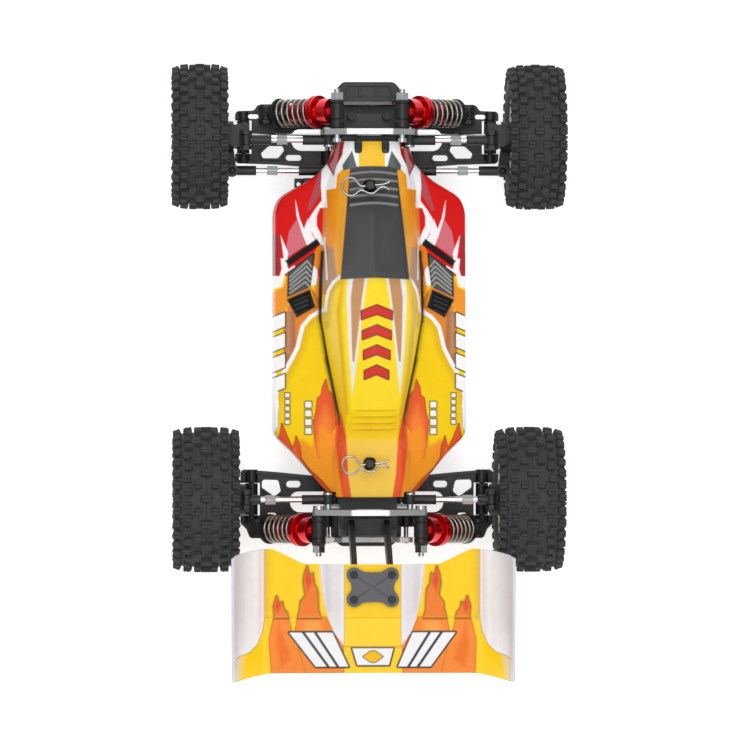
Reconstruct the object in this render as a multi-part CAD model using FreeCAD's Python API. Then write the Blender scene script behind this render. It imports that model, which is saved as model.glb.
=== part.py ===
"""Four-wheel-drive off-road buggy for radio control, about 1/14 scale.

Everything is drawn in millimetres with the origin on the ground, midway between the axles and on the
centre line: +Y to the nose, +X to the driver's right, +Z up. The finished parts are then moved along Y
so that the origin lies under the middle of the car's overall length. Corner pieces are drawn on the
right-hand side and mirrored to the left.
"""

import FreeCAD, Part

import math
import os
from types import SimpleNamespace

V = FreeCAD.Vector

# ---------------------------------------------------------------- driving dimensions
WHEELBASE = 174.0
TYRE_RADIUS = 35.0
AXLE_Z = TYRE_RADIUS
CHASSIS_BOTTOM = 15.0
CHASSIS_TOP = 17.0
STAND_HOLE_X = 33.0        # four holes through the chassis plate for a stand
STAND_HOLE_Y = (48.0, -60.0)
STAND_HOLE_R = 1.6
CASE_TOP = 49.0            # top face of both gear cases
CASE_HALF = 13.5           # half width of both gear cases
REAR_CASE_BACK = -104.5
CASE_BOLT_X = 8.4          # case bolts, with the wing struts over the rear pair
FRONT_BOSS_Y = 96.0        # screwed bosses on the cases
REAR_BOSS_Y = -100.0
FRONT_POST_Y = 62.6        # body posts
REAR_POST_Y = -69.4
BODY_POST_TOP = 70.0
CLIP_Z = 66.2              # clip hole in each body post
CENTRE_SHAFT_R = 2.2
ARM_PIN_X = 19.0           # inner suspension pins
ARM_PIN_Z = 26.0
LINK_Z = 53.0              # camber links lie level at this height
PIN_R = 1.2                # hinge pins
PIN_BORE = 1.3             # running bore on a hinge pin
STUD_R = 1.5               # shock and link studs
STUD_BORE = 1.6
BALL_Z = 35.5              # steering ball joints
BALL_R = 2.2
BALL_NECK_R = 1.1
SOCKET_R = 2.3
STEER_RADIUS = 16.3        # knuckle arm, servo horn and idler arm all share this length
STEER_PIVOT = (13.0, 62.0)  # idler post on the right; the servo output mirrors it on the left
PIVOT_POST_R = 1.45        # servo spline and idler post
PIVOT_BORE = 1.5
STEER_ARM_Z = (40.9, 43.6)  # horn and idler arm
DRAG_LINK_Z = (38.8, 40.7)
DRAG_BALL_X = 19.5         # inner tie rod balls, carried by the drag link
DRIVE_BALL_X = 18.0        # inner ball of every drive shaft
DRIVE_BALL_R = 2.2
CUP_BORE = 3.5
CUP_R = 4.9
CUP_SLOT = 4.0             # wide enough for the cross pins at full travel and full lock together
RING_TEETH = 38            # bevel ring gear on each differential
BEVEL_TEETH = 13           # bevel pinions on the centre shaft
GEAR_MODULE = 0.6
SPUR_TEETH = 46
PINION_TEETH = 27
MOTOR_TILT = 10.0          # the motor sits this many degrees below the drive shaft
GEAR_Y = -6.5              # middle of the spur gear and pinion
WING_HUMP_Z = 96.0
WING_SCREW_X = 8.85
WING_SCREW_Y = 5.8
WING_TIP_Z = 107.0
WING_TAIL_Y = -170.6

FRONT = SimpleNamespace(
    name="front",
    y=WHEELBASE / 2,
    wheel_x=80.5,
    tyre_width=26.0,
    rim_width=22.0,
    arm_out_x=59.5,
    joint_x=65.0,          # kingpin and outer drive ball
    carrier=(64.3, 72.3),  # bearing carrier along X
    link_in=(19.2, LINK_Z),
    link_out=(58.5, LINK_Z),
    link_y=84.6,
    shock_top=(15.5, 60.0),
    shock_low=(48.5, 31.5),
    shock_y=98.0,
)
REAR = SimpleNamespace(
    name="rear",
    y=-WHEELBASE / 2,
    wheel_x=77.5,
    tyre_width=31.0,
    rim_width=27.0,
    arm_out_x=55.5,
    joint_x=60.0,
    carrier=(58.6, 67.3),
    link_in=(19.6, LINK_Z),
    link_out=(58.5, LINK_Z),
    link_y=-86.7,
    shock_top=(24.3, 63.0),
    shock_low=(52.5, 31.5),
    shock_y=-101.0,
)


# ---------------------------------------------------------------- drawing helpers
def box(x0, x1, y0, y1, z0, z1):
    return Part.makeBox(x1 - x0, y1 - y0, z1 - z0, V(x0, y0, z0))


def rod(start, end, radius):
    """Round bar between two points."""
    a = V(*start)
    along = V(*end) - a
    return Part.makeCylinder(radius, along.Length, a, along)


def along_x(y, z, x0, x1, radius):
    return rod((x0, y, z), (x1, y, z), radius)


def along_y(x, z, y0, y1, radius):
    return rod((x, y0, z), (x, y1, z), radius)


def along_z(x, y, z0, z1, radius):
    return rod((x, y, z0), (x, y, z1), radius)


def union(*shapes):
    result = shapes[0].fuse(list(shapes[1:])) if len(shapes) > 1 else shapes[0]
    return result.removeSplitter()


def minus(shape, *tools):
    return shape.cut(list(tools))


def mirror_x(shape):
    return shape.mirror(V(0, 0, 0), V(1, 0, 0))


def both_sides(shape):
    return [shape, mirror_x(shape)]


def group(shapes):
    """Separate solids kept side by side in one node."""
    solids = [solid for shape in shapes for solid in shape.Solids]
    return Part.makeCompound(solids)


PLANES = {
    "xy": (lambda a, b, c: V(a, b, c), V(0, 0, 1)),
    "xz": (lambda a, b, c: V(a, c, b), V(0, 1, 0)),
    "yz": (lambda a, b, c: V(c, a, b), V(1, 0, 0)),
}


def outline(points, plane, level):
    """Closed wire through (a, b) or (a, b, corner radius) points in a plane."""
    place, _ = PLANES[plane]
    corners = []
    for i, point in enumerate(points):
        here = V(point[0], point[1], 0)
        radius = point[2] if len(point) > 2 else 0
        if not radius:
            corners.append((here, None, here))
            continue
        to_last = V(points[i - 1][0], points[i - 1][1], 0) - here
        following = points[(i + 1) % len(points)]
        to_next = V(following[0], following[1], 0) - here
        to_last.normalize()
        to_next.normalize()
        half = to_last.getAngle(to_next) / 2
        inward = to_last + to_next
        inward.normalize()
        reach = radius / math.tan(half)
        middle = here + inward * (radius / math.sin(half) - radius)
        corners.append((here + to_last * reach, middle, here + to_next * reach))
    edges = []
    for i, (start, middle, end) in enumerate(corners):
        begin, finish = place(start.x, start.y, level), place(end.x, end.y, level)
        if middle is not None:
            edges.append(Part.Arc(begin, place(middle.x, middle.y, level), finish).toShape())
        after = corners[(i + 1) % len(corners)][0]
        target = place(after.x, after.y, level)
        if (target - finish).Length > 1e-6:
            edges.append(Part.LineSegment(finish, target).toShape())
    return Part.Wire(edges)


def plate(points, plane, low, high):
    """Flat plate with the given outline, from level low to level high."""
    _, normal = PLANES[plane]
    return Part.Face(outline(points, plane, low)).extrude(normal * (high - low))


def mirrored_outline(half):
    """Outline symmetric about X = 0 from the points of its right half, listed in order."""
    left = [(-p[0], *p[1:]) for p in reversed(half) if abs(p[0]) > 1e-6]
    return list(half) + left


def slot(x0, x1, y0, y1, low, high):
    """Round-ended slot along X."""
    radius = (y1 - y0) / 2 - 0.01
    points = [(x0, y0, radius), (x1, y0, radius), (x1, y1, radius), (x0, y1, radius)]
    return plate(points, "xy", low, high)


def revolve(profile, centre, axis):
    """Solid of revolution of (along, radius) points about an axis through centre; axis is +X here."""
    points = [V(centre.x + a, centre.y, centre.z + r) for a, r in profile]
    face = Part.Face(Part.makePolygon(points + [points[0]]))
    return face.revolve(centre, axis, 360)


def loft(sections):
    wires = [Part.makePolygon([V(*p) for p in points] + [V(*points[0])]) for points in sections]
    return Part.makeLoft(wires, True, True)


def regular_prism(sides, radius, start, end):
    """Hexagon or similar bar along X, Y or Z between two points."""
    a, b = V(*start), V(*end)
    along = b - a
    across = V(0, 0, 1) if abs(along.z) < 1e-9 else V(1, 0, 0)
    other = along.cross(across)
    other.normalize()
    points = []
    for i in range(sides + 1):
        turn = 2 * math.pi * i / sides
        points.append(a + across * (radius * math.cos(turn)) + other * (radius * math.sin(turn)))
    return Part.Face(Part.makePolygon(points)).extrude(along)


# ---------------------------------------------------------------- chassis and structure
def chassis_plate():
    half = [
        (0, 108), (13, 108, 3), (17, 101, 6), (17, 74, 12), (40.5, 54, 6),
        (40.5, -58, 6), (17, -76, 12), (17, -106, 4), (12, -110, 3), (0, -110),
    ]
    plate_body = plate(mirrored_outline(half), "xy", CHASSIS_BOTTOM, CHASSIS_TOP)
    rails = both_sides(box(39.3, 40.5, -52, 48, CHASSIS_TOP - 0.5, 22))
    result = union(plate_body, *rails)
    stand_holes = [
        along_z(x, y, 14, 18, STAND_HOLE_R)
        for x in (-STAND_HOLE_X, STAND_HOLE_X)
        for y in STAND_HOLE_Y
    ]
    window_places = [(28, 36), (28, -54), (0, 30), (0, -40)]
    windows = [slot(x - 5, x + 5, y - 1.6, y + 1.6, 14, 18) for x, y in window_places]
    return minus(result, *stand_holes, *windows)


def front_bumper():
    skid = plate(
        mirrored_outline([(0, 108.3), (14.4, 108.3, 1), (15.0, 109.8, 1), (12.6, 112.4, 2.5), (0, 112.4)]),
        "xy", 15.5, 18.5,
    )
    top_half = [(0, 103.8), (15.6, 103.8, 2), (16.4, 108, 2.5), (12.4, 112.8, 3.5), (0, 112.8)]
    top = plate(mirrored_outline(top_half), "xy", 42.5, 45.0)
    recess_half = [(0, 105.6), (11.5, 105.6, 1), (10, 110.8, 1.5), (0, 110.8)]
    recess = plate(mirrored_outline(recess_half), "xy", 44.0, 45.2)
    ribs = [box(x - 0.5, x + 0.5, 105.4, 111, 43.9, 44.8) for x in (-4.2, 4.2)]
    braces = [
        plate([(106, 18.3), (111.6, 18.3), (110.6, 42.7), (105.4, 42.7)], "yz", x - 1.1, x + 1.1)
        for x in (-8, 8)
    ]
    tongue = box(-9, 9, 107.2, 109.2, 17.05, 22)
    front_face = plate(
        mirrored_outline([(0, 20), (14, 20, 2), (12, 40, 2), (0, 40)]), "xz", 110.0, 111.6
    )
    window = plate(mirrored_outline([(0, 25), (5, 25, 1), (4.5, 36, 1), (0, 36)]), "xz", 109, 113)
    return union(minus(top, recess), *ribs, *braces, skid, tongue, minus(front_face, window))


def gear_case(corner, inner_y, outer_y, post_y, boss_y):
    """Lower and upper case round a differential, then the brace that carries the body post."""
    outward = math.copysign(1, corner.y)
    side = 4.0 * outward
    profile = [
        (inner_y, CHASSIS_TOP), (outer_y, CHASSIS_TOP), (outer_y, CASE_TOP - 4, 2),
        (outer_y - side, CASE_TOP, 2), (inner_y + side, CASE_TOP, 2), (inner_y, CASE_TOP - 4, 2),
    ]
    case = plate(profile, "yz", -CASE_HALF, CASE_HALF)
    ring_room = along_x(corner.y, AXLE_Z, -10.6, 10.6, 12.4)
    outdrive_bore = along_x(corner.y, AXLE_Z, -20, 20, CUP_R + 0.3)
    pinion_room = along_y(0, AXLE_Z, inner_y + outward * 2.6, corner.y - outward * 2, 5.6)
    shaft_bore = along_y(0, AXLE_Z, inner_y - outward * 5, corner.y, CENTRE_SHAFT_R + 0.1)
    hollow = minus(case, ring_room, pinion_room, outdrive_bore, shaft_bore)
    near, far = sorted((inner_y, outer_y))
    lower = hollow.common(box(-20, 20, near - 1, far + 1, 10, AXLE_Z))
    upper = hollow.common(box(-20, 20, near - 1, far + 1, AXLE_Z, 60))
    bosses = [
        along_z(x, boss_y, CASE_TOP, CASE_TOP + 4.5, 1.9)
        for x in (-CASE_BOLT_X, CASE_BOLT_X)
    ]
    half = [
        (0, post_y - outward * 4), (5, post_y - outward * 4, 3), (9.5, post_y + outward * 8, 3),
        (13, corner.y - outward * 4, 2), (13, corner.y - outward * 0.4), (0, corner.y - outward * 0.4),
    ]
    brace = plate(mirrored_outline(half), "xy", CASE_TOP + 0.05, CASE_TOP + 3.0)
    post = union(
        along_z(0, post_y, CASE_TOP + 2.9, BODY_POST_TOP - 0.8, 2.3),
        Part.makeCone(2.3, 1.6, 0.8, V(0, post_y, BODY_POST_TOP - 0.8)),
    )
    post = minus(post, along_x(post_y, CLIP_Z, -5, 5, 0.95))
    return [lower, union(upper, *bosses), union(brace, post)]


def front_gearbox():
    return group(gear_case(FRONT, 76.5, 101.5, FRONT_POST_Y, FRONT_BOSS_Y))


def rear_gearbox():
    return group(gear_case(REAR, -76.5, REAR_CASE_BACK, REAR_POST_Y, REAR_BOSS_Y))


def front_shock_tower():
    half = [
        (0, 66.5), (11, 66.5, 2), (17, 64, 3), (22, 62, 2.4), (23.2, 55, 3), (23.2, 50.4, 2), (17, 48.5, 2),
        (17, 41.5, 1.5), (13.7, 41.5), (13.7, CASE_TOP + 0.1), (0, CASE_TOP + 0.1),
    ]
    body = plate(mirrored_outline(half), "xz", 86.9, 89.6)
    studs = [along_y(s * x, z, 80, 95, STUD_R) for s in (-1, 1) for x, z in (FRONT.shock_top, FRONT.link_in)]
    spare = [along_y(s * x, z, 80, 95, 0.9) for s in (-1, 1) for x, z in ((18.6, 58.6), (10.6, 61.6))]
    window = plate(mirrored_outline([(0, 54), (7, 54, 1.5), (6, 61.5, 1.5), (0, 61.5)]), "xz", 80, 95)
    return minus(body, *studs, *spare, window)


def rear_shock_tower():
    half = [
        (0, 73), (9, 73, 4), (20, 68.5, 8), (27.2, 65.2, 2.6), (27.2, 60.2, 2.6), (23.2, 57.5, 3),
        (22.6, 50.5, 2.4), (17, 49.5, 2), (17, 45.6, 1), (13.7, 45.6),
        (13.7, CASE_TOP + 0.4), (0, CASE_TOP + 0.4),
    ]
    body = plate(mirrored_outline(half), "xz", -93.9, -91.2)
    window = plate(mirrored_outline([(0, 57), (8, 57, 2), (6.5, 67, 2), (0, 67)]), "xz", -100, -80)
    studs = [along_y(s * x, z, -110, -70, STUD_R) for s in (-1, 1) for x, z in (REAR.shock_top, REAR.link_in)]
    return minus(body, window, *studs)


# ---------------------------------------------------------------- body shell, clips and wing
# Half sections of the shell as (y, bottom edge, pod crease, pod top, cab foot, cab shoulder, roof).
SHELL_SECTIONS = [
    (84.0, (17.6, 46), (17.4, 48.6), (16.9, 51.2), (15.4, 53.6), (10.5, 55.6), (0, 56.4)),
    (73.0, (21, 43.5), (20.3, 47), (18.6, 50.4), (16.2, 54), (11.5, 57.6), (0, 58.8)),
    (66.0, (31, 41), (28, 44.4), (20.6, 49.4), (17.4, 54.4), (12, 59.4), (0, 60.8)),
    (57.0, (42.5, 27), (40, 39), (22, 48.5), (18, 55.5), (12.7, 61.6), (0, 63)),
    (50.0, (46, 20), (44, 38), (23, 48.5), (19.3, 57), (13.3, 64.4), (0, 66)),
    (20.0, (46, 19), (44.5, 39), (24, 48.5), (22, 62), (16.5, 75.6), (0, 77.6)),
    (0.0, (46, 19), (44.5, 39), (24.5, 48.5), (22.6, 64), (17.5, 77), (0, 79)),
    (-20.0, (46, 19), (44.5, 39), (22, 48.5), (20.5, 63), (15.5, 75), (0, 77)),
    (-45.0, (46.5, 19), (45, 38.5), (17.8, 50), (16.8, 59), (14, 68), (0, 70)),
    (-56.0, (46.5, 20), (44.5, 38), (17.5, 52), (16.2, 57), (14.5, 61), (0, 62.5)),
    (-64.0, (38, 30), (36.5, 41), (19, 53), (16.8, 57), (14.6, 59.5), (0, 61)),
    (-80.0, (24, 46.5), (22.5, 49), (18.5, 53.4), (16.5, 55.6), (14, 57.5), (0, 59)),
    (-85.4, (19, 50.5), (18, 52), (17, 53.6), (15.5, 55), (13, 56.5), (0, 58)),
]
SHELL_SKIN = 1.1


def shell_section(y, half, inset=0.0):
    points = [(max(x - inset, 0.0), z - inset) for x, z in half]
    if inset:
        points[0] = (points[0][0], points[0][1] - 8)
    right = [(x, y, z) for x, z in points]
    left = [(-x, y, z) for x, z in reversed(points) if x > 0]
    return right + left


def body_shell():
    outer = loft([shell_section(y, half) for y, *half in SHELL_SECTIONS])
    longer = [(y + math.copysign(2.0, y) if y in (SHELL_SECTIONS[0][0], SHELL_SECTIONS[-1][0]) else y, half)
              for y, *half in SHELL_SECTIONS]
    inner = loft([shell_section(y, half, SHELL_SKIN) for y, half in longer])
    post_holes = [along_z(0, y, 50, 90, 2.9) for y in (FRONT_POST_Y, REAR_POST_Y)]
    notches = [
        along_y(s * corner.link_in[0], LINK_Z, corner.link_y - 3.6, corner.link_y + 3.6, 3.8)
        for corner in (FRONT, REAR)
        for s in (-1, 1)
    ]
    skin = minus(outer, inner, *post_holes, *notches)
    return max(skin.Solids, key=lambda solid: solid.Volume)


def clip(post_y, z):
    """R-shaped body clip: a straight leg through the post, a finger loop and a spring leg behind the post."""
    path = [
        (9.4, 1.8, 0), (5.0, 0.3, 0), (0, 0, 0), (-4.6, -0.1, 0.05), (-7.4, 3.0, 0.3), (-11.0, 3.2, 0.5),
        (-13.2, -0.4, 0.7), (-11.4, -4.2, 0.9), (-7.6, -4.6, 1.2), (-4.6, -2.4, 1.45), (-2.2, -3.0, 1.5),
        (1.0, -3.8, 1.5), (4.4, -1.4, 1.5), (9.0, -2.2, 1.5),
    ]
    points = [V(x, post_y + y, z + dz) for x, y, dz in path]
    curve = Part.BSplineCurve()
    curve.interpolate(points)
    spine = Part.Wire(curve.toShape())
    circle = Part.Wire(Part.Circle(points[0], curve.tangent(0)[0], 0.55).toShape())
    return spine.makePipeShell([circle], True, True)


def body_clips():
    return group([clip(FRONT_POST_Y, CLIP_Z), clip(REAR_POST_Y, CLIP_Z)])


# Spanwise stations of the wing: x, then (y, z) at the front edge, fold, kick-up and trailing edge.
WING_STATIONS = [
    (0.0, (-116, 96.0), (-140, 96.0), (-153.7, 96.4), (-166, 103)),
    (14.3, (-116, 96.0), (-140, 96.0), (-153.7, 96.4), (-166, 103)),
    (22.0, (-116, 88.4), (-140, 88.8), (-153.7, 95.6), (-166, 103)),
    (32.0, (-116, 88.0), (-140, 88.5), (-153.7, 95.6), (-166, 103)),
    (46.5, (-109, 87.6), (-140, 88.5), (-153.7, 95.6), (-166, 103)),
    (50.5, (-109, 88.6), (-140, 89.4), (-153.7, 96.0), (-166.4, 103.2)),
    (55.5, (-109.6, 91.6), (-140, 92.2), (-153.7, 97.6), (-167.6, 103.8)),
    (60.5, (-110.6, 96.6), (-140, 97.0), (-153.7, 100.4), (-169, 104.4)),
    (64.2, (-111.6, 102.0), (-140, 102.2), (-153.7, 103.2), (-170.4, 105.2)),
    (66.3, (-113.0, WING_TIP_Z), (-140, WING_TIP_Z), (-153.7, WING_TIP_Z), (WING_TAIL_Y, WING_TIP_Z)),
]
WING_SKIN = 1.2


def rear_wing():
    sections = []
    for x, *edge in WING_STATIONS:
        top = [(x, y, z) for y, z in edge]
        bottom = [(x, y, z - WING_SKIN) for y, z in reversed(edge)]
        sections.append(top + bottom)
    right = loft(sections)
    sheet = union(right, mirror_x(right))
    holes = [along_z(x, y, 80, 110, 1.1) for x, y in wing_screw_places()]
    return minus(sheet, *holes)


WING_PLATE_Y = -126.6


def wing_screw_places():
    return [(sx * WING_SCREW_X, WING_PLATE_Y + sy * WING_SCREW_Y) for sx in (-1, 1) for sy in (-1, 1)]


def wing_plate():
    half_top = [
        (0, 6.9), (4.2, 7.0, 5), (7.6, 9.2, 2), (12.2, 9.2, 3.2), (12.2, 4.6, 2.5), (9.9, 1.5, 4), (9.9, 0),
    ]
    half = half_top + [(x, -y, *r) for x, y, *r in reversed(half_top[:-1])]
    points = [(p[0], WING_PLATE_Y + p[1], *p[2:]) for p in mirrored_outline(half)]
    body = plate(points, "xy", WING_HUMP_Z + 0.1, WING_HUMP_Z + 2.1)
    reach = math.hypot(7.4, 4.8)
    groove = box(-reach, reach, -0.35, 0.35, WING_HUMP_Z + 1.7, WING_HUMP_Z + 3)
    grooves = []
    for sign in (-1, 1):
        tool = groove.copy()
        tool.rotate(V(0, 0, 0), V(0, 0, 1), sign * math.degrees(math.atan2(WING_SCREW_Y, WING_SCREW_X)))
        tool.translate(V(0, WING_PLATE_Y, 0))
        grooves.append(tool)
    holes = [along_z(x, y, 90, 110, 1.1) for x, y in wing_screw_places()]
    sinks = [Part.makeCone(1.1, 2.0, 1.0, V(x, y, WING_HUMP_Z + 1.15)) for x, y in wing_screw_places()]
    return minus(body, *grooves, *holes, *sinks)


def wing_mount():
    struts = [
        plate(
            [
                (-95.5, CASE_TOP + 0.05), (-104, CASE_TOP + 0.05), (-107, 56, 4), (-121, 84, 6),
                (-135, 91, 3), (-135, 94.6), (-117, 94.6), (-112.5, 88, 5), (-98.5, 60, 4),
            ],
            "yz", x - 1.3, x + 1.3,
        )
        for x in (-CASE_BOLT_X, CASE_BOLT_X)
    ]
    saddle = box(-CASE_BOLT_X, CASE_BOLT_X, -134, -119, 92.4, 94.6)
    pads = [along_z(x, y, 91.4, 94.6, 2.6) for x, y in wing_screw_places()]
    base = box(-11.4, 11.4, -103.9, -95.6, CASE_TOP + 0.05, CASE_TOP + 3)
    body = union(*struts, saddle, *pads, base)
    boss_room = [along_z(x, REAR_BOSS_Y, 40, 54, 2.0) for x in (-CASE_BOLT_X, CASE_BOLT_X)]
    return minus(body, *[along_z(x, y, 91, 100, 1.1) for x, y in wing_screw_places()], *boss_room)


# ---------------------------------------------------------------- suspension
def front_arm():
    o = FRONT.arm_out_x
    points = [
        (16.2, 72.6, 1), (26, 72.6, 4), (44, 74.0, 8), (63.4, 74.6, 2), (63.4, 99.6, 2), (54.4, 99.9, 2),
        (52.6, 102.6, 1.5), (44.6, 102.6, 2), (38, 97.5, 6), (31, 94.5, 6), (25, 97.6, 3), (16.2, 97.6, 1),
    ]
    inner_gap = [(14, 80.6), (36.4, 80.6, 5), (36.4, 91.0, 4), (14, 91.0)]
    trapezoid = [
        (51, 79.4, 1), (47.2, 82.9, 1.5), (40.6, 82.9, 1.2), (39.8, 80.8, 1.2), (42.8, 77.0, 1.2),
        (50.2, 77.0, 1.2),
    ]
    cuts = [
        plate(inner_gap, "xy", 20, 32),
        plate(trapezoid, "xy", 20, 32),
        slot(31.6, 39.0, 75.8, 78.6, 20, 32),
        plate([(o - 4.0, 79.2), (70, 79.2), (70, 95.2), (o - 4.0, 95.2)], "xy", 15, 40),
        slot(52.2, 57.2, 96.0, 98.2, 20, 32),
    ]
    eyes = [(ARM_PIN_X, 72.6, 80.4), (ARM_PIN_X, 91.2, 97.6), (o, 74.7, 79.1), (o, 95.3, 99.5)]
    return arm(points, cuts, eyes, FRONT, [(93.4, 95.3), (100.7, 102.6)], (74.7, 99.5))


def rear_arm():
    o = REAR.arm_out_x
    points = [
        (16.2, -100.4, 1), (25, -100.4, 3), (31, -97.2, 6), (39, -99.5, 6), (48.4, -105.6, 2),
        (56.4, -105.6, 1.5), (58, -101.4, 2), (60.8, -98.6, 2), (60.8, -72.6, 2), (43, -74.0, 8),
        (27, -75.6, 4), (16.2, -75.6, 1),
    ]
    inner_gap = [(14, -93.4), (37, -93.4, 5), (37, -83.4, 4), (14, -83.4)]
    heart = [
        (50.4, -77.6, 1.4), (42.6, -77.8, 1.6), (41.4, -83.2, 1.4), (44.4, -85.8, 1.4), (50.6, -81.4, 1.4),
    ]
    cuts = [
        plate(inner_gap, "xy", 20, 32),
        plate(heart, "xy", 20, 32),
        slot(32.0, 38.8, -81.4, -78.2, 20, 32),
        plate([(o - 4.0, -94.8), (70, -94.8), (70, -79.2), (o - 4.0, -79.2)], "xy", 15, 40),
        slot(43.6, 48.2, -96.4, -93.6, 20, 32),
    ]
    eyes = [(ARM_PIN_X, -100.4, -93.6), (ARM_PIN_X, -83.2, -75.6), (o, -98.4, -95.0), (o, -79.0, -72.8)]
    return arm(points, cuts, eyes, REAR, [(-98.3, -96.5), (-105.6, -103.7)], (-98.4, -72.8))


def arm(points, cuts, eyes, corner, lugs, pin_span):
    """Lower wishbone: a ribbed plate with hinge eyes, shock lugs, and its outer hinge and shock pins."""
    web_bottom, web_top, rim_top = ARM_PIN_Z - 1.8, ARM_PIN_Z + 0.6, ARM_PIN_Z + 1.9
    outer = Part.Face(outline(points, "xy", web_bottom))
    solid = outer.extrude(V(0, 0, rim_top - web_bottom))
    pocket_face = outer.makeOffset2D(-1.5)
    pocket_face.translate(V(0, 0, web_top - web_bottom))
    holes_rim = [hole.makeOffsetShape(1.2, 0.01) for hole in cuts[1:3]]
    pocket = minus(pocket_face.extrude(V(0, 0, 5)), *holes_rim)
    ribs = [box(24, corner.arm_out_x - 4, corner.y - 0.6, corner.y + 0.6, web_bottom, rim_top)]
    body = union(minus(solid, pocket), *ribs)
    x, z = corner.shock_low
    lug = [(x - 3.4, web_bottom), (x + 3.4, web_bottom), (x + 2.9, z + 2.6, 2), (x - 2.9, z + 2.6, 2)]
    ears = [plate(lug, "xz", *sorted(pair)) for pair in lugs]
    barrels = [along_y(px, ARM_PIN_Z, y0, y1, 3.0) for px, y0, y1 in eyes]
    shock_span = (min(lugs[0] + lugs[1]), max(lugs[0] + lugs[1]))
    swing_room = along_y(x, z, shock_span[0] + 1.9, shock_span[1] - 1.9, 3.8)
    body = union(body, *ears, *barrels)
    inner_bore = along_y(ARM_PIN_X, ARM_PIN_Z, corner.y - 30, corner.y + 30, PIN_BORE)
    outer_bore = along_y(corner.arm_out_x, ARM_PIN_Z, *pin_span, PIN_R)
    body = minus(body, *cuts, swing_room, inner_bore, outer_bore, along_y(x, z, *shock_span, PIN_R))
    body = max(body.Solids, key=lambda s: s.Volume)
    outer_pin = along_y(corner.arm_out_x, ARM_PIN_Z, *pin_span, PIN_R)
    return group([body, outer_pin, along_y(x, z, *shock_span, PIN_R)])


def link_ears(corner, x0, x1, z0):
    """Two ears and the stud that hold the outer end of a camber link."""
    y, (x, z) = corner.link_y, corner.link_out
    ear = [(x0, z0), (x1, z0), (x + 2.7, z + 2.8, 2), (x - 2.7, z + 2.8, 2)]
    ears = [plate(ear, "xz", *sorted((y + s * 2.5, y + s * 4.4))) for s in (-1, 1)]
    return [*ears, along_y(x, z, y - 4.4, y + 4.4, STUD_R)]


def front_hub():
    """C-shaped carrier: hinged to the arm below, with the kingpins of the knuckle above and below."""
    o, y, k = FRONT.arm_out_x, FRONT.y, FRONT.joint_x
    barrel = along_y(o, ARM_PIN_Z, 79.4, 95.0, 3.0)
    web = plate([(80.2, 25), (93.8, 25), (93.0, 49.8, 1), (81.0, 49.8, 1)], "yz", 56.8, 59.8)
    tongue = [
        (57.6, y - 6), (k, y - 5, 2), (k + 3.6, y - 2.5, 2),
        (k + 3.6, y + 2.5, 2), (k, y + 5, 2), (57.6, y + 6),
    ]
    lower = plate(tongue, "xy", 23.0, 25.9)
    upper = lower.copy()
    upper.translate(V(0, 0, 23.8))
    kingpins = [along_z(k, y, 25.8, 29.4, 1.4), along_z(k, y, 43.4, 46.9, 1.4)]
    ears = link_ears(FRONT, 55.8, 61.6, 49.0)
    body = union(barrel, web, lower, upper, *kingpins, *ears)
    shaft_window = along_x(y, AXLE_Z, 50, 63, 6.0)
    return minus(body, shaft_window, along_y(o, ARM_PIN_Z, 70, 100, PIN_BORE))


def front_knuckle():
    y, k = FRONT.y, FRONT.joint_x
    x0, x1 = FRONT.carrier
    carrier = along_x(y, AXLE_Z, x0, x1, 7.4)
    flange = along_x(y, AXLE_Z, x1 - 2.2, x1, 8.4)
    bosses = [along_z(k, y, 26.2, 30, 2.4), along_z(k, y, 41.5, 46.5, 2.4)]
    ball_y = y - STEER_RADIUS
    reach = [
        (k - 2.6, ball_y - 2.6, 2.4), (k + 2.6, ball_y - 2.6, 2.4),
        (k + 4.6, y - 4, 1), (k - 0.6, y - 4, 1),
    ]
    blade = plate(reach, "xy", 29.4, 32.2)
    stud = ball_stud(k, ball_y, 32.0)
    body = union(carrier, flange, *bosses, blade, stud)
    bores = [
        along_x(y, AXLE_Z, x0 - 1, x1 - 1.8, CUP_R + 0.5),
        along_x(y, AXLE_Z, x0, x1 + 1, 2.58),
        along_z(k, y, 20, 29.6, 1.5),
        along_z(k, y, 43.2, 50, 1.5),
    ]
    return minus(body, *bores)


def rear_hub():
    o, y = REAR.arm_out_x, REAR.y
    x0, x1 = REAR.carrier
    barrel = along_y(o, ARM_PIN_Z, y - 7.6, y + 7.6, 3.0)
    carrier = along_x(y, AXLE_Z, x0, x1, 7.4)
    flange = along_x(y, AXLE_Z, x1 - 2.2, x1, 8.4)
    foot_outline = [(o, 23.0), (o + 7.5, 27.0, 1), (o + 8.5, 32, 1), (o + 2.6, 32, 1), (o, 29)]
    foot = plate(foot_outline, "xz", y - 6.2, y + 6.2)
    mast_top = LINK_Z - 3.2
    mast_outline = [(x0, 38), (x0 + 6, 38), (x0 + 4.4, mast_top, 1), (x0 - 2.6, mast_top, 1)]
    mast = plate(mast_outline, "xz", y - 5.7, y + 5.2)
    body = union(barrel, carrier, flange, foot, mast, *link_ears(REAR, 55.8, 61.4, LINK_Z - 4))
    eye_room = along_y(REAR.link_out[0], LINK_Z, REAR.link_y - 2.5, REAR.link_y + 2.5, 3.5)
    stud = along_y(REAR.link_out[0], LINK_Z, REAR.link_y - 4.4, REAR.link_y + 4.4, STUD_R)
    body = union(minus(body, eye_room), stud)
    bores = [
        along_x(y, AXLE_Z, x0 - 6, x1 - 1.8, CUP_R + 0.5),
        along_x(y, AXLE_Z, x0, x1 + 1, 2.58),
        along_y(o, ARM_PIN_Z, y - 12, y + 12, PIN_BORE),
    ]
    return minus(body, *bores)


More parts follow.
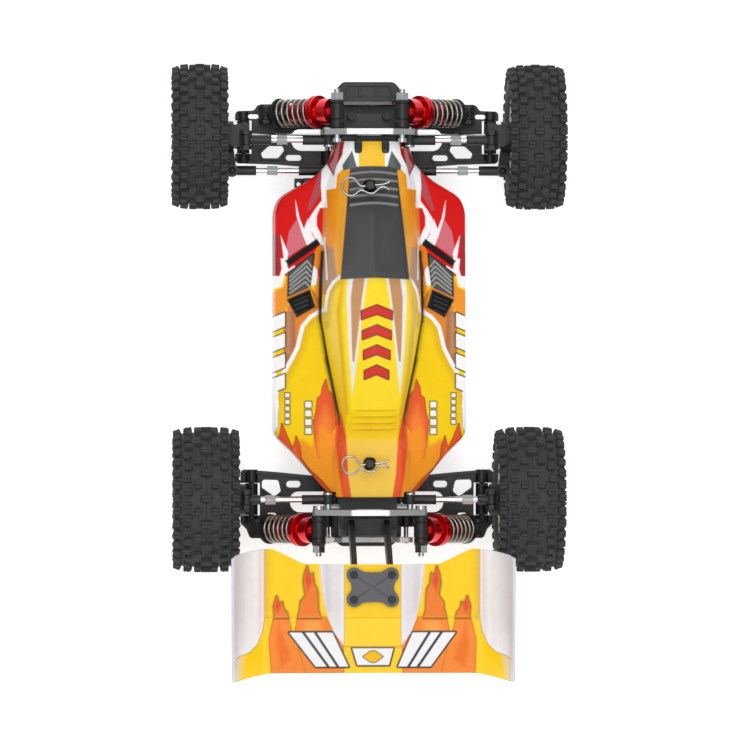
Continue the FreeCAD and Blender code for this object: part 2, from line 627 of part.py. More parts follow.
def threaded_link(start, end, eye_axis, shank_in, shank_out, hex_at, socket=False):
    """Turnbuckle between two moulded rod ends. The hexagon sits hex_at along the length, as a share."""
    a, b = V(*start), V(*end)
    along = b - a
    length = along.Length
    along.normalize()
    axis = V(*eye_axis)

    def point(distance):
        return tuple(a + along * distance)

    pieces = []
    for centre, inner, outer in ((a, 2.0, shank_in), (b, length - 2.0, length - shank_out)):
        eye = Part.makeCylinder(3.0, 4.4, centre - axis * 2.2, axis)
        shank = rod(point(inner), point(outer), 2.3)
        bore = Part.makeCylinder(STUD_BORE, 9, centre - axis * 4.5, axis)
        if socket:
            bore = union(bore, Part.makeSphere(SOCKET_R, centre))
        pieces.append(minus(union(eye, shank), bore))
    middle = shank_in + (length - shank_in - shank_out) * hex_at
    bar = rod(point(shank_in), point(length - shank_out), 1.3)
    hexagon = regular_prism(6, 2.5, point(middle - 2.5), point(middle + 2.5))
    return group([*pieces, union(bar, hexagon)])


def camber_link(corner):
    y = corner.link_y
    start, end = (corner.link_in[0], y, corner.link_in[1]), (corner.link_out[0], y, corner.link_out[1])
    shank_out, hex_at = (12.0, 0.66) if corner is FRONT else (6.8, 0.76)
    return threaded_link(start, end, (0, 1, 0), 12.4, shank_out, hex_at)


def tie_rod():
    ball_y = FRONT.y - STEER_RADIUS
    start, end = (DRAG_BALL_X, ball_y, BALL_Z), (FRONT.joint_x, ball_y, BALL_Z)
    return threaded_link(start, end, (0, 0, 1), 13.5, 11.5, 0.62, socket=True)


def ball_stud(x, y, base_z):
    """Neck and ball at the steering ball height, rising or hanging from base_z."""
    return union(along_z(x, y, base_z, BALL_Z, BALL_NECK_R), Part.makeSphere(BALL_R, V(x, y, BALL_Z)))


# ---------------------------------------------------------------- shocks
SHOCK_BODY_END = 26.0
COLLAR_END = 13.4
SHOCK_SEAT = 9.0           # lower spring seat, measured back from the lower eye


def place_shock(shape, corner):
    """Moves a shock drawn down local +Z, from its upper eye at the origin, to its corner."""
    (xt, zt), (xl, zl) = corner.shock_top, corner.shock_low
    shape = shape.copy()
    shape.rotate(V(0, 0, 0), V(0, 1, 0), math.degrees(math.atan2(xl - xt, zl - zt)))
    shape.translate(V(xt, corner.shock_y, zt))
    return shape


def shock_length(corner):
    (xt, zt), (xl, zl) = corner.shock_top, corner.shock_low
    return math.hypot(xl - xt, zl - zt)


def shock_body(corner):
    eye = along_y(0, 0, -3.6, 3.6, 3.4)
    cap = union(along_z(0, 0, 1.5, 3.4, 3.2), along_z(0, 0, 3.2, 9.0, 6.2))
    cap = cap.makeChamfer(0.6, [edge for edge in cap.Edges if edge.BoundBox.ZMin > 8.9])
    cylinder = along_z(0, 0, 9.0, SHOCK_BODY_END, 4.8)
    body = union(eye, cap, cylinder)
    bore = union(along_z(0, 0, 9.8, SHOCK_BODY_END - 1.4, 3.6), along_z(0, 0, 20, SHOCK_BODY_END + 1, 1.3))
    body = minus(body, bore, along_y(0, 0, -5, 5, STUD_BORE))
    collar = union(
        along_z(0, 0, 10.4, 11.6, 7.9),
        along_z(0, 0, 11.6, 12.2, 7.2),
        along_z(0, 0, 12.2, COLLAR_END, 7.9),
    )
    collar = minus(collar, along_z(0, 0, 9, 15, 4.8))
    return group([place_shock(body, corner), place_shock(collar, corner)])


def shock_shaft(corner):
    length = shock_length(corner)
    seat = length - SHOCK_SEAT
    shaft = along_z(0, 0, 17.4, length - 4, PIN_R)
    piston = along_z(0, 0, 17.2, 18.7, 3.5)
    cup = union(along_z(0, 0, seat, seat + 1.2, 7.2), along_z(0, 0, seat + 1.2, seat + 2.6, 5.4))
    neck = along_z(0, 0, seat + 2.4, length - 1.5, 2.6)
    eye = along_y(0, 0, -2.5, 2.5, 3.0)
    eye.translate(V(0, 0, length))
    bore = along_y(0, 0, -5, 5, STUD_BORE)
    bore.translate(V(0, 0, length))
    return place_shock(minus(union(shaft, piston, cup, neck, eye), bore), corner)


def shock_spring(corner):
    """Coil spring between the collar and the lower seat."""
    start, end = COLLAR_END + 0.1, shock_length(corner) - SHOCK_SEAT - 0.1
    wire_r, coil_r, turns = 0.65, 6.2, 6.5
    pitch = (end - start - 2 * wire_r) / turns
    helix = Part.makeLongHelix(pitch, pitch * turns, coil_r)
    helix.translate(V(0, 0, start + wire_r))
    first = helix.Edges[0]
    origin = first.valueAt(first.FirstParameter)
    section = Part.Wire(Part.Circle(origin, first.tangentAt(first.FirstParameter), wire_r).toShape())
    coil = Part.Wire(helix.Edges).makePipeShell([section], True, True)
    return place_shock(coil, corner)


def shock_springs():
    springs = []
    for corner in (FRONT, REAR):
        springs += both_sides(shock_spring(corner))
    return group(springs)


# ---------------------------------------------------------------- wheels and drive shafts
def drive_shaft(corner):
    """Dog bone: a bar with a ball and a cross pin at each end."""
    x0, x1 = DRIVE_BALL_X, corner.joint_x
    bar = along_x(corner.y, AXLE_Z, x0, x1, 1.5)
    balls = [Part.makeSphere(DRIVE_BALL_R, V(x, corner.y, AXLE_Z)) for x in (x0, x1)]
    pins = [along_z(x, corner.y, AXLE_Z - 3.9, AXLE_Z + 3.9, 0.6) for x in (x0, x1)]
    return union(bar, *balls, *pins)


def drive_cup(y, mouth, bottom):
    """Open cup along X with two slots for a cross pin. The mouth faces the drive shaft."""
    floor = math.copysign(1.2, bottom - mouth)
    cup = along_x(y, AXLE_Z, mouth, bottom, CUP_R)
    bore = along_x(y, AXLE_Z, mouth - floor, bottom - floor, CUP_BORE)
    near, far = sorted((mouth - floor, bottom - floor))
    pin_slot = box(near, far, y - CUP_SLOT / 2, y + CUP_SLOT / 2, AXLE_Z - 6, AXLE_Z + 6)
    return minus(cup, bore, pin_slot)


def axle(corner):
    """Stub axle: cup, bar, hexagon drive and wheel nut, all turning with the wheel."""
    y, end = corner.y, corner.carrier[1]
    cup_end = end - 2.1
    hexagon = regular_prism(6, 6.6, (end + 0.3, y, AXLE_Z), (end + 4.4, y, AXLE_Z))
    nut = regular_prism(6, 4.0, (end + 7.5, y, AXLE_Z), (end + 11.2, y, AXLE_Z))
    bore = along_x(y, AXLE_Z, 60, 100, 2.5)
    bar = along_x(y, AXLE_Z, cup_end - 0.5, end + 12.6, 2.5)
    shaft = union(drive_cup(y, corner.joint_x - 3.0, cup_end), bar)
    return [shaft, minus(hexagon, bore), minus(nut, bore)]


RIM_R = 20.5
SPOKES = 8


def rim(corner):
    """Dished wheel with its stub axle as separate solids of the node."""
    y, end = corner.y, corner.carrier[1]
    x0 = corner.wheel_x - corner.rim_width / 2
    x1 = corner.wheel_x + corner.rim_width / 2
    disc = end + 4.4
    centre = V(0, y, AXLE_Z)
    profile = [
        (x0, 18.6), (x0, 22.2), (x0 + 1.6, 22.2), (x0 + 2.4, RIM_R), (x1 - 2.4, RIM_R), (x1 - 1.6, 22.2),
        (x1, 22.2), (x1, 20.0), (x1 - 1.4, 18.8), (disc + 6.5, 17.0), (disc + 3.1, 7.2), (disc + 3.1, 2.55),
        (disc, 2.55), (disc, 9.0), (disc + 2.0, 15.2), (disc - 0.6, 18.6),
    ]
    wheel = revolve(profile, centre, V(1, 0, 0))
    window = plate(
        [(8.8, -1.5, 0.8), (15.8, -3.9, 1.2), (15.8, 3.9, 1.2), (8.8, 1.5, 0.8)], "xy", disc - 6, disc + 12
    )
    window.rotate(V(0, 0, 0), V(0, 1, 0), 90)
    windows = []
    for i in range(SPOKES):
        tool = window.copy()
        tool.translate(V(0, y, AXLE_Z))
        tool.rotate(centre, V(1, 0, 0), 360 * (i + 0.5) / SPOKES)
        windows.append(tool)
    return group([minus(wheel, *windows), *axle(corner)])


def tyre(corner):
    """Hollow carcass: beads on the rim, bulged side walls and a slightly crowned tread."""
    half = corner.tyre_width / 2
    lip = corner.rim_width / 2 - 2.5
    outer = [
        (-lip, RIM_R + 0.05), (-lip - 0.2, 22.3), (-half + 0.6, 24.5), (-half, 28.0), (-half + 0.4, 31.0),
        (-half + 2.6, 33.6), (-half + 5.5, 34.6), (0, TYRE_RADIUS),
    ]
    outer += [(-a, r) for a, r in reversed(outer[:-1])]
    skin = 2.2
    inner = [
        (lip - 2.2, RIM_R + 0.05), (lip - 1.6, 22.6), (half - skin - 0.6, 25.2), (half - skin - 0.4, 30.0),
        (half - skin - 2.0, 31.6), (0, TYRE_RADIUS - 2.8),
    ]
    inner += [(-a, r) for a, r in reversed(inner[:-1])]
    return revolve([(corner.wheel_x + a, r) for a, r in outer + inner], V(0, corner.y, AXLE_Z), V(1, 0, 0))


# ---------------------------------------------------------------- drive train
def involute(angle):
    return math.tan(angle) - angle


def spur_gear(teeth, x, z, y0, y1, turn, bore):
    """Straight involute gear about an axis along Y. turn is the angle of its first tooth, in degrees."""
    pressure = math.radians(20)
    pitch_r = GEAR_MODULE * teeth / 2
    base_r = pitch_r * math.cos(pressure)
    tip_r, root_r = pitch_r + 0.92 * GEAR_MODULE, pitch_r - 1.25 * GEAR_MODULE
    backlash = 0.09
    half_tooth = math.pi / (2 * teeth) - backlash / (2 * pitch_r) + involute(pressure)
    radii = [max(base_r, root_r) + (tip_r - max(base_r, root_r)) * i / 4 for i in range(5)]
    flank = [(r, half_tooth - involute(math.acos(min(1.0, base_r / r)))) for r in radii]
    if root_r < base_r:
        flank.insert(0, (root_r, flank[0][1]))
    points = []
    for i in range(teeth):
        middle = math.radians(turn) + 2 * math.pi * i / teeth
        tooth = [(r, middle - a) for r, a in flank] + [(r, middle + a) for r, a in reversed(flank)]
        points += [V(x + r * math.cos(a), y0, z + r * math.sin(a)) for r, a in tooth]
    solid = Part.Face(Part.makePolygon(points + [points[0]])).extrude(V(0, y1 - y0, 0))
    return minus(solid, along_y(x, z, y0 - 1, y1 + 1, bore))


def motor_place():
    distance = GEAR_MODULE * (SPUR_TEETH + PINION_TEETH) / 2
    tilt = math.radians(MOTOR_TILT)
    return -distance * math.cos(tilt), AXLE_Z - distance * math.sin(tilt)


def center_shaft():
    """Propeller shaft with its bevel pinions and the spur gear, one rigid turning assembly."""
    shaft = along_y(0, AXLE_Z, REAR.y + 12.5, FRONT.y - 12.5, CENTRE_SHAFT_R)
    pinions = []
    for corner, sign in ((FRONT, -1), (REAR, 1)):
        tip = corner.y + sign * 8.9
        cone = Part.makeCone(3.4, 4.6, 3.8, V(0, tip, AXLE_Z), V(0, sign, 0))
        flutes = []
        for i in range(BEVEL_TEETH):
            flute = rod((0, tip - sign, AXLE_Z + 3.3), (0, tip + sign * 5, AXLE_Z + 5.2), 0.5)
            flute.rotate(V(0, tip, AXLE_Z), V(0, 1, 0), 360 * i / BEVEL_TEETH)
            flutes.append(flute)
        pinions.append(minus(cone, *flutes))
    toward_motor = 180 + MOTOR_TILT
    gear = spur_gear(SPUR_TEETH, 0, AXLE_Z, GEAR_Y - 2.2, GEAR_Y + 2.2, toward_motor, CENTRE_SHAFT_R)
    ports = [
        along_y(9.2 * math.cos(a), AXLE_Z + 9.2 * math.sin(a), GEAR_Y - 4, GEAR_Y + 4, 1.9)
        for a in [2 * math.pi * i / 6 for i in range(6)]
    ]
    hub = along_y(0, AXLE_Z, GEAR_Y - 5.5, GEAR_Y - 2.2, 5.0)
    hub = minus(hub, along_y(0, AXLE_Z, -20, 20, CENTRE_SHAFT_R))
    return group([union(shaft, *pinions), minus(gear, *ports), hub])


def motor_pinion():
    x, z = motor_place()
    half_pitch = 180 / PINION_TEETH
    gear = spur_gear(PINION_TEETH, x, z, GEAR_Y - 2.6, GEAR_Y + 2.6, MOTOR_TILT + half_pitch, 1.6)
    collar = minus(along_y(x, z, GEAR_Y + 2.6, GEAR_Y + 6.2, 4.4), along_y(x, z, -20, 20, 1.6))
    shaft = along_y(x, z, GEAR_Y - 6.0, GEAR_Y + 6.2, 1.6)
    return group([gear, collar, shaft])


def motor():
    """Brushed can motor with its end bell, vents and clamp bracket."""
    x, z = motor_place()
    front, back, radius = GEAR_Y - 6.6, -56.0, 13.8
    can = union(along_y(x, z, back + 7, front, radius), along_y(x, z, front, front + 0.5, 4.5))
    bell = union(along_y(x, z, back, back + 7, radius - 0.8), along_y(x, z, back - 1.5, back, 5))
    tabs = [box(x + s * 7 - 1.2, x + s * 7 + 1.2, back - 3.5, back, z - 0.4, z + 0.4) for s in (-1, 1)]
    bracket_outline = [
        (x - 14, CHASSIS_TOP), (-6.4, CHASSIS_TOP), (-6.4, 39, 2), (x + 6, z + 12.4, 3), (x - 5, z + 12.4, 3),
        (x - 14, 32, 3),
    ]
    bracket = plate(bracket_outline, "xz", front + 0.5, front + 2.9)
    return group([can, union(bell, *tabs), minus(bracket, along_y(x, z, -40, 40, 5.0))])


def differential(corner):
    """Case, bevel ring gear and both drive cups, turning together about X. The ring faces the pinion."""
    y = corner.y
    case = along_x(y, AXLE_Z, -7.5, 5.2, 8.6)
    ring = revolve([(5.2, 2), (5.2, 11.8), (7.6, 11.8), (9.0, 8.2), (9.0, 2)], V(0, y, AXLE_Z), V(1, 0, 0))
    gaps = []
    for i in range(RING_TEETH):
        gap = box(5.0, 6.2, y - 0.45, y + 0.45, AXLE_Z + 8.8, AXLE_Z + 13)
        gap.rotate(V(0, y, AXLE_Z), V(1, 0, 0), 360 * i / RING_TEETH)
        gaps.append(gap)
    trunnion = along_x(y, AXLE_Z, -12.6, 12.6, 3.2)
    cups = [drive_cup(y, s * (DRIVE_BALL_X + 3.0), s * 12.0) for s in (-1, 1)]
    assembly = union(case, minus(ring, *gaps), trunnion, *cups)
    return assembly if corner is FRONT else mirror_x(assembly)


# ---------------------------------------------------------------- steering
def steering_servo():
    x, y = -STEER_PIVOT[0], STEER_PIVOT[1]
    body = box(x - 17.5, x + 6.0, y - 6.6, y + 5.2, CHASSIS_TOP + 0.05, 35.6)
    ears = box(x - 22.0, x + 10.4, y - 6.6, y + 5.2, 28.0, 29.8)
    ears = minus(ears, *[along_z(ex, y + s, 20, 40, 1.0) for ex in (x - 20, x + 8.4) for s in (-3.6, 2.4)])
    boss = along_z(x, y, 35.5, 37.4, 5.0)
    spline = along_z(x, y, 37.3, 43.9, PIVOT_POST_R)
    return union(body, ears, boss, spline)


def steer_arm(x):
    """Horn or idler arm from its pivot back to the drag link pin."""
    y = STEER_PIVOT[1]
    tip = y - STEER_RADIUS
    low, top = STEER_ARM_Z
    half_tip, half_root = 2.6, 3.6
    points = [
        (x - half_tip, tip - half_tip, 2.4), (x + half_tip, tip - half_tip, 2.4),
        (x + half_root, y + half_root, 3.2), (x - half_root, y + half_root, 3.2),
    ]
    pin = along_z(x, tip, 38.2, low + 0.1, 1.4)
    return minus(union(plate(points, "xy", low, top), pin), along_z(x, y, 30, 50, PIVOT_BORE))


def servo_horn():
    return steer_arm(-STEER_PIVOT[0])


def idler_arm():
    return steer_arm(STEER_PIVOT[0])


def drag_link():
    """Cross link between both arms, with a ball stud for each tie rod at its front corners."""
    x, tip = STEER_PIVOT[0], STEER_PIVOT[1] - STEER_RADIUS
    ball_x, ball_y = DRAG_BALL_X, FRONT.y - STEER_RADIUS
    low, top = DRAG_LINK_Z
    outside, inside = 24.1, 21.4
    half = [
        (0, tip - 2.4), (x + 6, tip - 2.8, 4), (outside, tip + 6, 4), (outside, tip + 11.5, 4),
        (22.0, ball_y - 7.2, 4), (ball_x + 2.6, ball_y + 2.6, 2.2), (ball_x - 2.8, ball_y + 2.6, 2.2),
        (ball_x - 2.2, ball_y - 2.8, 1.5), (inside - 1.2, ball_y - 6.0, 2), (inside, tip + 11.5, 3),
        (inside, tip + 7, 2), (x + 3, tip + 2.8, 4), (0, tip + 2.4),
    ]
    body = plate(mirrored_outline(half), "xy", low, top)
    studs = [ball_stud(s * ball_x, ball_y, low + 0.1) for s in (-1, 1)]
    pins = [along_z(s * x, tip, 37, 42, 1.5) for s in (-1, 1)]
    return minus(union(body, *studs), *pins)


# ---------------------------------------------------------------- electrics
def battery_pack():
    wrap = box(15.6, 38.9, -48, 24, CHASSIS_TOP + 0.1, 36.6)
    wrap = wrap.makeFillet(1.6, [edge for edge in wrap.Edges if edge.BoundBox.YLength > 50])
    ends = [along_y(x, z, 23.5, 24.6, 4.6) for x in (21.4, 33.2) for z in (22.6, 31.2)]
    strap = box(15.0, 39.2, -20, -8, CHASSIS_TOP + 0.05, 37.6)
    strap = minus(strap, box(15.6, 38.9, -50, 30, 0, 36.6))
    return group([union(wrap, *ends), strap])


def control_box():
    body = box(-38.5, -12.0, 14, 42, CHASSIS_TOP + 0.05, 32)
    body = body.makeFillet(1.5, [e for e in body.Edges if e.BoundBox.ZLength > 10])
    fins = [box(-36 + 3.2 * i, -34.6 + 3.2 * i, 17, 39, 31.9, 35) for i in range(7)]
    socket = box(-30, -20, 41.9, 43.5, 20, 28)
    return union(body, *fins, socket)


# ---------------------------------------------------------------- fasteners, pins and braces
def cap_screw(x, y, z):
    """Socket screw seen from above, its head standing on level z."""
    return minus(along_z(x, y, z, z + 1.6, 1.8), regular_prism(6, 0.9, (x, y, z + 0.8), (x, y, z + 2)))


def shock_stud(corner, back, front, nut):
    """Long stud along Y through the tower and the shock's upper eye, with a lock nut near its free end."""
    x, z = corner.shock_top
    stud = along_y(x, z, back, front, STUD_R - 0.02)
    nut_body = regular_prism(6, 3.3, (x, nut[0], z), (x, nut[1], z))
    nut_body = minus(nut_body, along_y(x, z, -150, 150, STUD_R - 0.02))
    head_y = (front, front + 1.8) if corner.y < 0 else (back - 1.8, back)
    head = along_y(x, z, *head_y, 2.7)
    return [union(stud, head), nut_body]


def link_stud(corner):
    """Headed stud through the inner end of a camber link into the shock tower."""
    x, z = corner.link_in
    free, fixed = (81.4, 89.6) if corner is FRONT else (-83.4, -93.0)
    outward = math.copysign(1, fixed - free)
    head = along_y(x, z, free, free + outward * 0.9, 2.5)
    return union(head, along_y(x, z, free + outward * 0.5, fixed, STUD_R - 0.02))


def pin_brace(y0, y1):
    """Cross brace standing on the chassis that holds the ends of both inner hinge pins."""
    half = [
        (0, CHASSIS_TOP + 0.05), (10, CHASSIS_TOP + 0.05, 1), (22.4, 22.6, 2), (22.4, 29.4, 2.5),
        (15.5, 29.4, 1), (12, 26.5, 1), (0, 26.5),
    ]
    brace = plate(mirrored_outline(half), "xz", y0, y1)
    pins = [along_y(s * ARM_PIN_X, ARM_PIN_Z, y0 - 1, y1 + 1, PIN_R) for s in (-1, 1)]
    return minus(brace, *pins)


def idler_post():
    x, y = STEER_PIVOT
    return union(along_z(x, y, CHASSIS_TOP + 0.05, 37.6, 3.2), along_z(x, y, 37.5, 44.0, PIVOT_POST_R))


def hinge_pins_and_screws():
    pieces = []
    for corner, back, front in ((FRONT, 70.2, 105.4), (REAR, -108.4, -72.0)):
        pieces.append(along_y(ARM_PIN_X, ARM_PIN_Z, back, front, PIN_R))
    pieces += shock_stud(FRONT, 85.1, 108.6, (103.4, 106.8))
    pieces += shock_stud(REAR, -113.4, -91.15, (-111.6, -108.2))
    for corner in (FRONT, REAR):
        pieces.append(link_stud(corner))
    right = group(pieces)
    result = both_sides(right)
    for y0, y1 in ((102.8, 105.2), (70.2, 72.3), (-75.2, -73.0), (-107.9, -105.4)):
        result.append(pin_brace(y0, y1))
    result.append(idler_post())
    for x, y in wing_screw_places():
        head = Part.makeCone(1.1, 1.9, 0.8, V(x, y, WING_HUMP_Z + 1.25))
        result.append(union(along_z(x, y, 91.6, WING_HUMP_Z + 1.5, 1.05), head))
    for x in (-CASE_BOLT_X, CASE_BOLT_X):
        result.append(cap_screw(x, FRONT_BOSS_Y, CASE_TOP + 4.55))
    return group(result)


# ---------------------------------------------------------------- all nodes
def nodes():
    """Every node of the car by name."""
    made = {
        "chassis_plate": chassis_plate(),
        "front_bumper": front_bumper(),
        "front_gearbox": front_gearbox(),
        "rear_gearbox": rear_gearbox(),
        "front_shock_tower": front_shock_tower(),
        "rear_shock_tower": rear_shock_tower(),
        "body_shell": body_shell(),
        "body_clips": body_clips(),
        "rear_wing": rear_wing(),
        "wing_mount": wing_mount(),
        "wing_plate": wing_plate(),
        "motor": motor(),
        "motor_pinion": motor_pinion(),
        "center_shaft": center_shaft(),
        "front_differential": differential(FRONT),
        "rear_differential": differential(REAR),
        "steering_servo": steering_servo(),
        "servo_horn": servo_horn(),
        "idler_arm": idler_arm(),
        "drag_link": drag_link(),
        "battery_pack": battery_pack(),
        "control_box": control_box(),
        "shock_springs": shock_springs(),
        "hinge_pins_and_screws": hinge_pins_and_screws(),
    }
    right_hand = {
        "tie_rod": tie_rod(),
        "steering_knuckle": front_knuckle(),
        "front_lower_arm": front_arm(),
        "rear_lower_arm": rear_arm(),
        "front_hub_carrier": front_hub(),
        "rear_hub_carrier": rear_hub(),
    }
    for corner in (FRONT, REAR):
        right_hand[corner.name + "_camber_link"] = camber_link(corner)
        right_hand[corner.name + "_shock_body"] = shock_body(corner)
        right_hand[corner.name + "_shock_shaft"] = shock_shaft(corner)
        right_hand[corner.name + "_drive_shaft"] = drive_shaft(corner)
        right_hand[corner.name + "_rim"] = rim(corner)
        right_hand[corner.name + "_tyre"] = tyre(corner)
    for name, shape in right_hand.items():
        made[name + "_right"] = shape
        made[name + "_left"] = mirror_x(shape)
    return made


def middle_of_length():
    """Y of the middle of the car, from the front of the tyres to the tail of the wing."""
    return (FRONT.y + TYRE_RADIUS + WING_TAIL_Y) / 2


def main():
    os.makedirs("parts", exist_ok=True)
    for name, shape in nodes().items():
        shape.translate(V(0, -middle_of_length(), 0))
        shape.exportStep(f"parts/{name}.step")


if __name__ == "__main__":
    main()
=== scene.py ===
import math

import bpy
import numpy as np
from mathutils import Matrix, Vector


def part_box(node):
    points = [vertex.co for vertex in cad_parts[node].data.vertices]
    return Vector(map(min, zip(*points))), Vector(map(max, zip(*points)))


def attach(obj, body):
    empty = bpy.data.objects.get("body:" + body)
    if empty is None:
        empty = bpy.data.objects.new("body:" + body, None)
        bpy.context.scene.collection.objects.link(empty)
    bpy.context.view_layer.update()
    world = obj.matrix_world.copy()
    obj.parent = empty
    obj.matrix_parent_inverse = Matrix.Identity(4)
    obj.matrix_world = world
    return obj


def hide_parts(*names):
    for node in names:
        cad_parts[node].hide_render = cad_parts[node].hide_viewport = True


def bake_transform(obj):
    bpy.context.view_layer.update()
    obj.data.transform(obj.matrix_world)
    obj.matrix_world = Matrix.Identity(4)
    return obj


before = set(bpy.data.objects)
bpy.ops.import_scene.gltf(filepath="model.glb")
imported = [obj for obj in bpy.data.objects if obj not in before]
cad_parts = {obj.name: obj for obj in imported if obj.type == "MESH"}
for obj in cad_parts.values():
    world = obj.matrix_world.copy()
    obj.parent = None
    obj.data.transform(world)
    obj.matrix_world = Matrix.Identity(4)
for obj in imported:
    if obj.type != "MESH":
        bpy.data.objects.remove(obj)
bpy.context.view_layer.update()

MM = 0.001
# Shapes below are drawn in mm with Y measured from the middle of the wheelbase, then moved to the frame.
SHELL_NOSE = 84.0
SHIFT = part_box("body_shell")[1].y / MM - SHELL_NOSE


def placed(points):
    """Drawn points in mm as points of the frame in metres."""
    out = np.array(points, float)
    out[:, 1] += SHIFT
    return out * MM


# ------------------------------------------------------------------ colours and materials
def rgb(code):
    """Linear colour of a #rrggbb code."""
    value = np.array([int(code[i:i + 2], 16) / 255 for i in (1, 3, 5)])
    return np.where(value <= 0.04045, value / 12.92, ((value + 0.055) / 1.055) ** 2.4)


BLOTCH_SCALE = 220.0        # broad changes of shade, a few mm across
ROUGH_SPREAD = 0.07
COAT_ROUGH = 0.08


def material(name, colour, rough=0.5, metal=0.0, coat=0.0, vary=0.06, grain=0.0, fine=3500.0, edge=0.22,
             brushed=None, attribute=None, specular=0.5):
    """Principled material with noise in its colour, roughness and surface, and softened edges.

    Its colour comes from the point attribute, if one is named.
    """
    mat = bpy.data.materials.new(name)
    mat.use_nodes = True
    tree = mat.node_tree
    new, link = tree.nodes.new, tree.links.new
    shader = tree.nodes["Principled BSDF"]
    coords = new("ShaderNodeTexCoord")
    stretch = new("ShaderNodeMapping")
    stretch.inputs["Scale"].default_value = brushed or (1, 1, 1)
    link(coords.outputs["Object"], stretch.inputs["Vector"])

    def noise(scale, detail):
        node = new("ShaderNodeTexNoise")
        node.inputs["Scale"].default_value = scale
        node.inputs["Detail"].default_value = detail
        link(stretch.outputs["Vector"], node.inputs["Vector"])
        return node.outputs["Fac"]

    def spread(source, low, high):
        node = new("ShaderNodeMapRange")
        node.inputs["From Min"].default_value = 0.25
        node.inputs["From Max"].default_value = 0.75
        node.inputs["To Min"].default_value = low
        node.inputs["To Max"].default_value = high
        link(source, node.inputs["Value"])
        return node.outputs["Result"]

    blotch, speck = noise(BLOTCH_SCALE, 4), noise(fine, 3)
    tint = new("ShaderNodeHueSaturation")
    if attribute:
        paint = new("ShaderNodeAttribute")
        paint.attribute_name = attribute
        link(paint.outputs["Color"], tint.inputs["Color"])
    else:
        tint.inputs["Color"].default_value = (*rgb(colour), 1)
    link(spread(blotch, 1 - vary, 1 + vary), tint.inputs["Value"])
    link(tint.outputs["Color"], shader.inputs["Base Color"])
    link(spread(speck, max(rough - ROUGH_SPREAD, 0.02), rough + ROUGH_SPREAD), shader.inputs["Roughness"])
    bevel = new("ShaderNodeBevel")
    bevel.samples = 4
    bevel.inputs["Radius"].default_value = edge * MM
    bump = new("ShaderNodeBump")
    bump.inputs["Strength"].default_value = grain
    bump.inputs["Distance"].default_value = 0.1 * MM
    link(speck, bump.inputs["Height"])
    if edge:
        link(bevel.outputs["Normal"], bump.inputs["Normal"])
    link(bump.outputs["Normal"], shader.inputs["Normal"])
    shader.inputs["Metallic"].default_value = metal
    shader.inputs["Coat Weight"].default_value = coat
    shader.inputs["Coat Roughness"].default_value = COAT_ROUGH
    shader.inputs["Specular IOR Level"].default_value = specular
    return mat


FILM = dict(rough=0.42, coat=0.12, attribute="livery", vary=0.03, edge=0.0, grain=0.03, specular=0.2)
MATERIALS = {
    "dark_alloy": material("dark_alloy", "#3a3c40", 0.36, 0.9, grain=0.15, brushed=(8, 1, 1)),
    "silver_alloy": material("silver_alloy", "#c4c5c7", 0.36, 1.0, grain=0.12, brushed=(1, 6, 1)),
    "black_nylon": material("black_nylon", "#17181a", 0.46, grain=0.35, edge=0.3),
    "grey_nylon": material("grey_nylon", "#55565a", 0.5, grain=0.3),
    "steel": material("steel", "#d3d6da", 0.2, 1.0, grain=0.08, fine=6000),
    "spring_steel": material("spring_steel", "#a8a49e", 0.26, 1.0, edge=0.0, fine=6000),
    "black_steel": material("black_steel", "#2b2c2f", 0.32, 0.9, grain=0.1),
    "red_alloy": material("red_alloy", "#d3121d", 0.25, 0.85, coat=0.3, grain=0.08),
    "tyre_rubber": material("tyre_rubber", "#3b3c3e", 0.72, grain=0.5, fine=2600, edge=0.15, vary=0.12,
                            specular=0.35),
    "rim_plastic": material("rim_plastic", "#f2f0e8", 0.4, coat=0.2, grain=0.1),
    "motor_can": material("motor_can", "#b9bcc0", 0.25, 1.0, grain=0.1),
    "battery_wrap": material("battery_wrap", "#2554a8", 0.34, coat=0.4, grain=0.2),
    "gear_steel": material("gear_steel", "#a7a9ac", 0.3, 1.0, grain=0.12),
    "shell_film": material("shell_film", None, **FILM),
    "wing_film": material("wing_film", None, **FILM),
}


# ------------------------------------------------------------------ places on the car
# An axle's y, the middle of its wheels, half a tyre's width, the (x, z) of the shocks' two eyes and their y.
FRONT = dict(y=87.0, wheel_x=80.5, half=13.0, top=(15.5, 60.0), low=(48.5, 31.5), shock_y=98.0)
REAR = dict(y=-87.0, wheel_x=77.5, half=15.5, top=(24.3, 63.0), low=(52.5, 31.5), shock_y=-101.0)
AXLE_Z = 35.0
EYE_RADIUS = 3.9            # of the moulded eye at the top of a shock
SEAT_END = 9.3              # from a shock's lower eye to the end of the black moulding round it
SHELL_DX = 1.2              # the shell sits a little to the right of the centre line


def shock_axis(corner, side):
    """Upper eye of a shock, its direction downwards and its length between the eyes."""
    (xt, zt), (xl, zl) = corner["top"], corner["low"]
    top = np.array([side * xt, corner["shock_y"], zt])
    low = np.array([side * xl, corner["shock_y"], zl])
    length = np.linalg.norm(low - top)
    return top, (low - top) / length, length


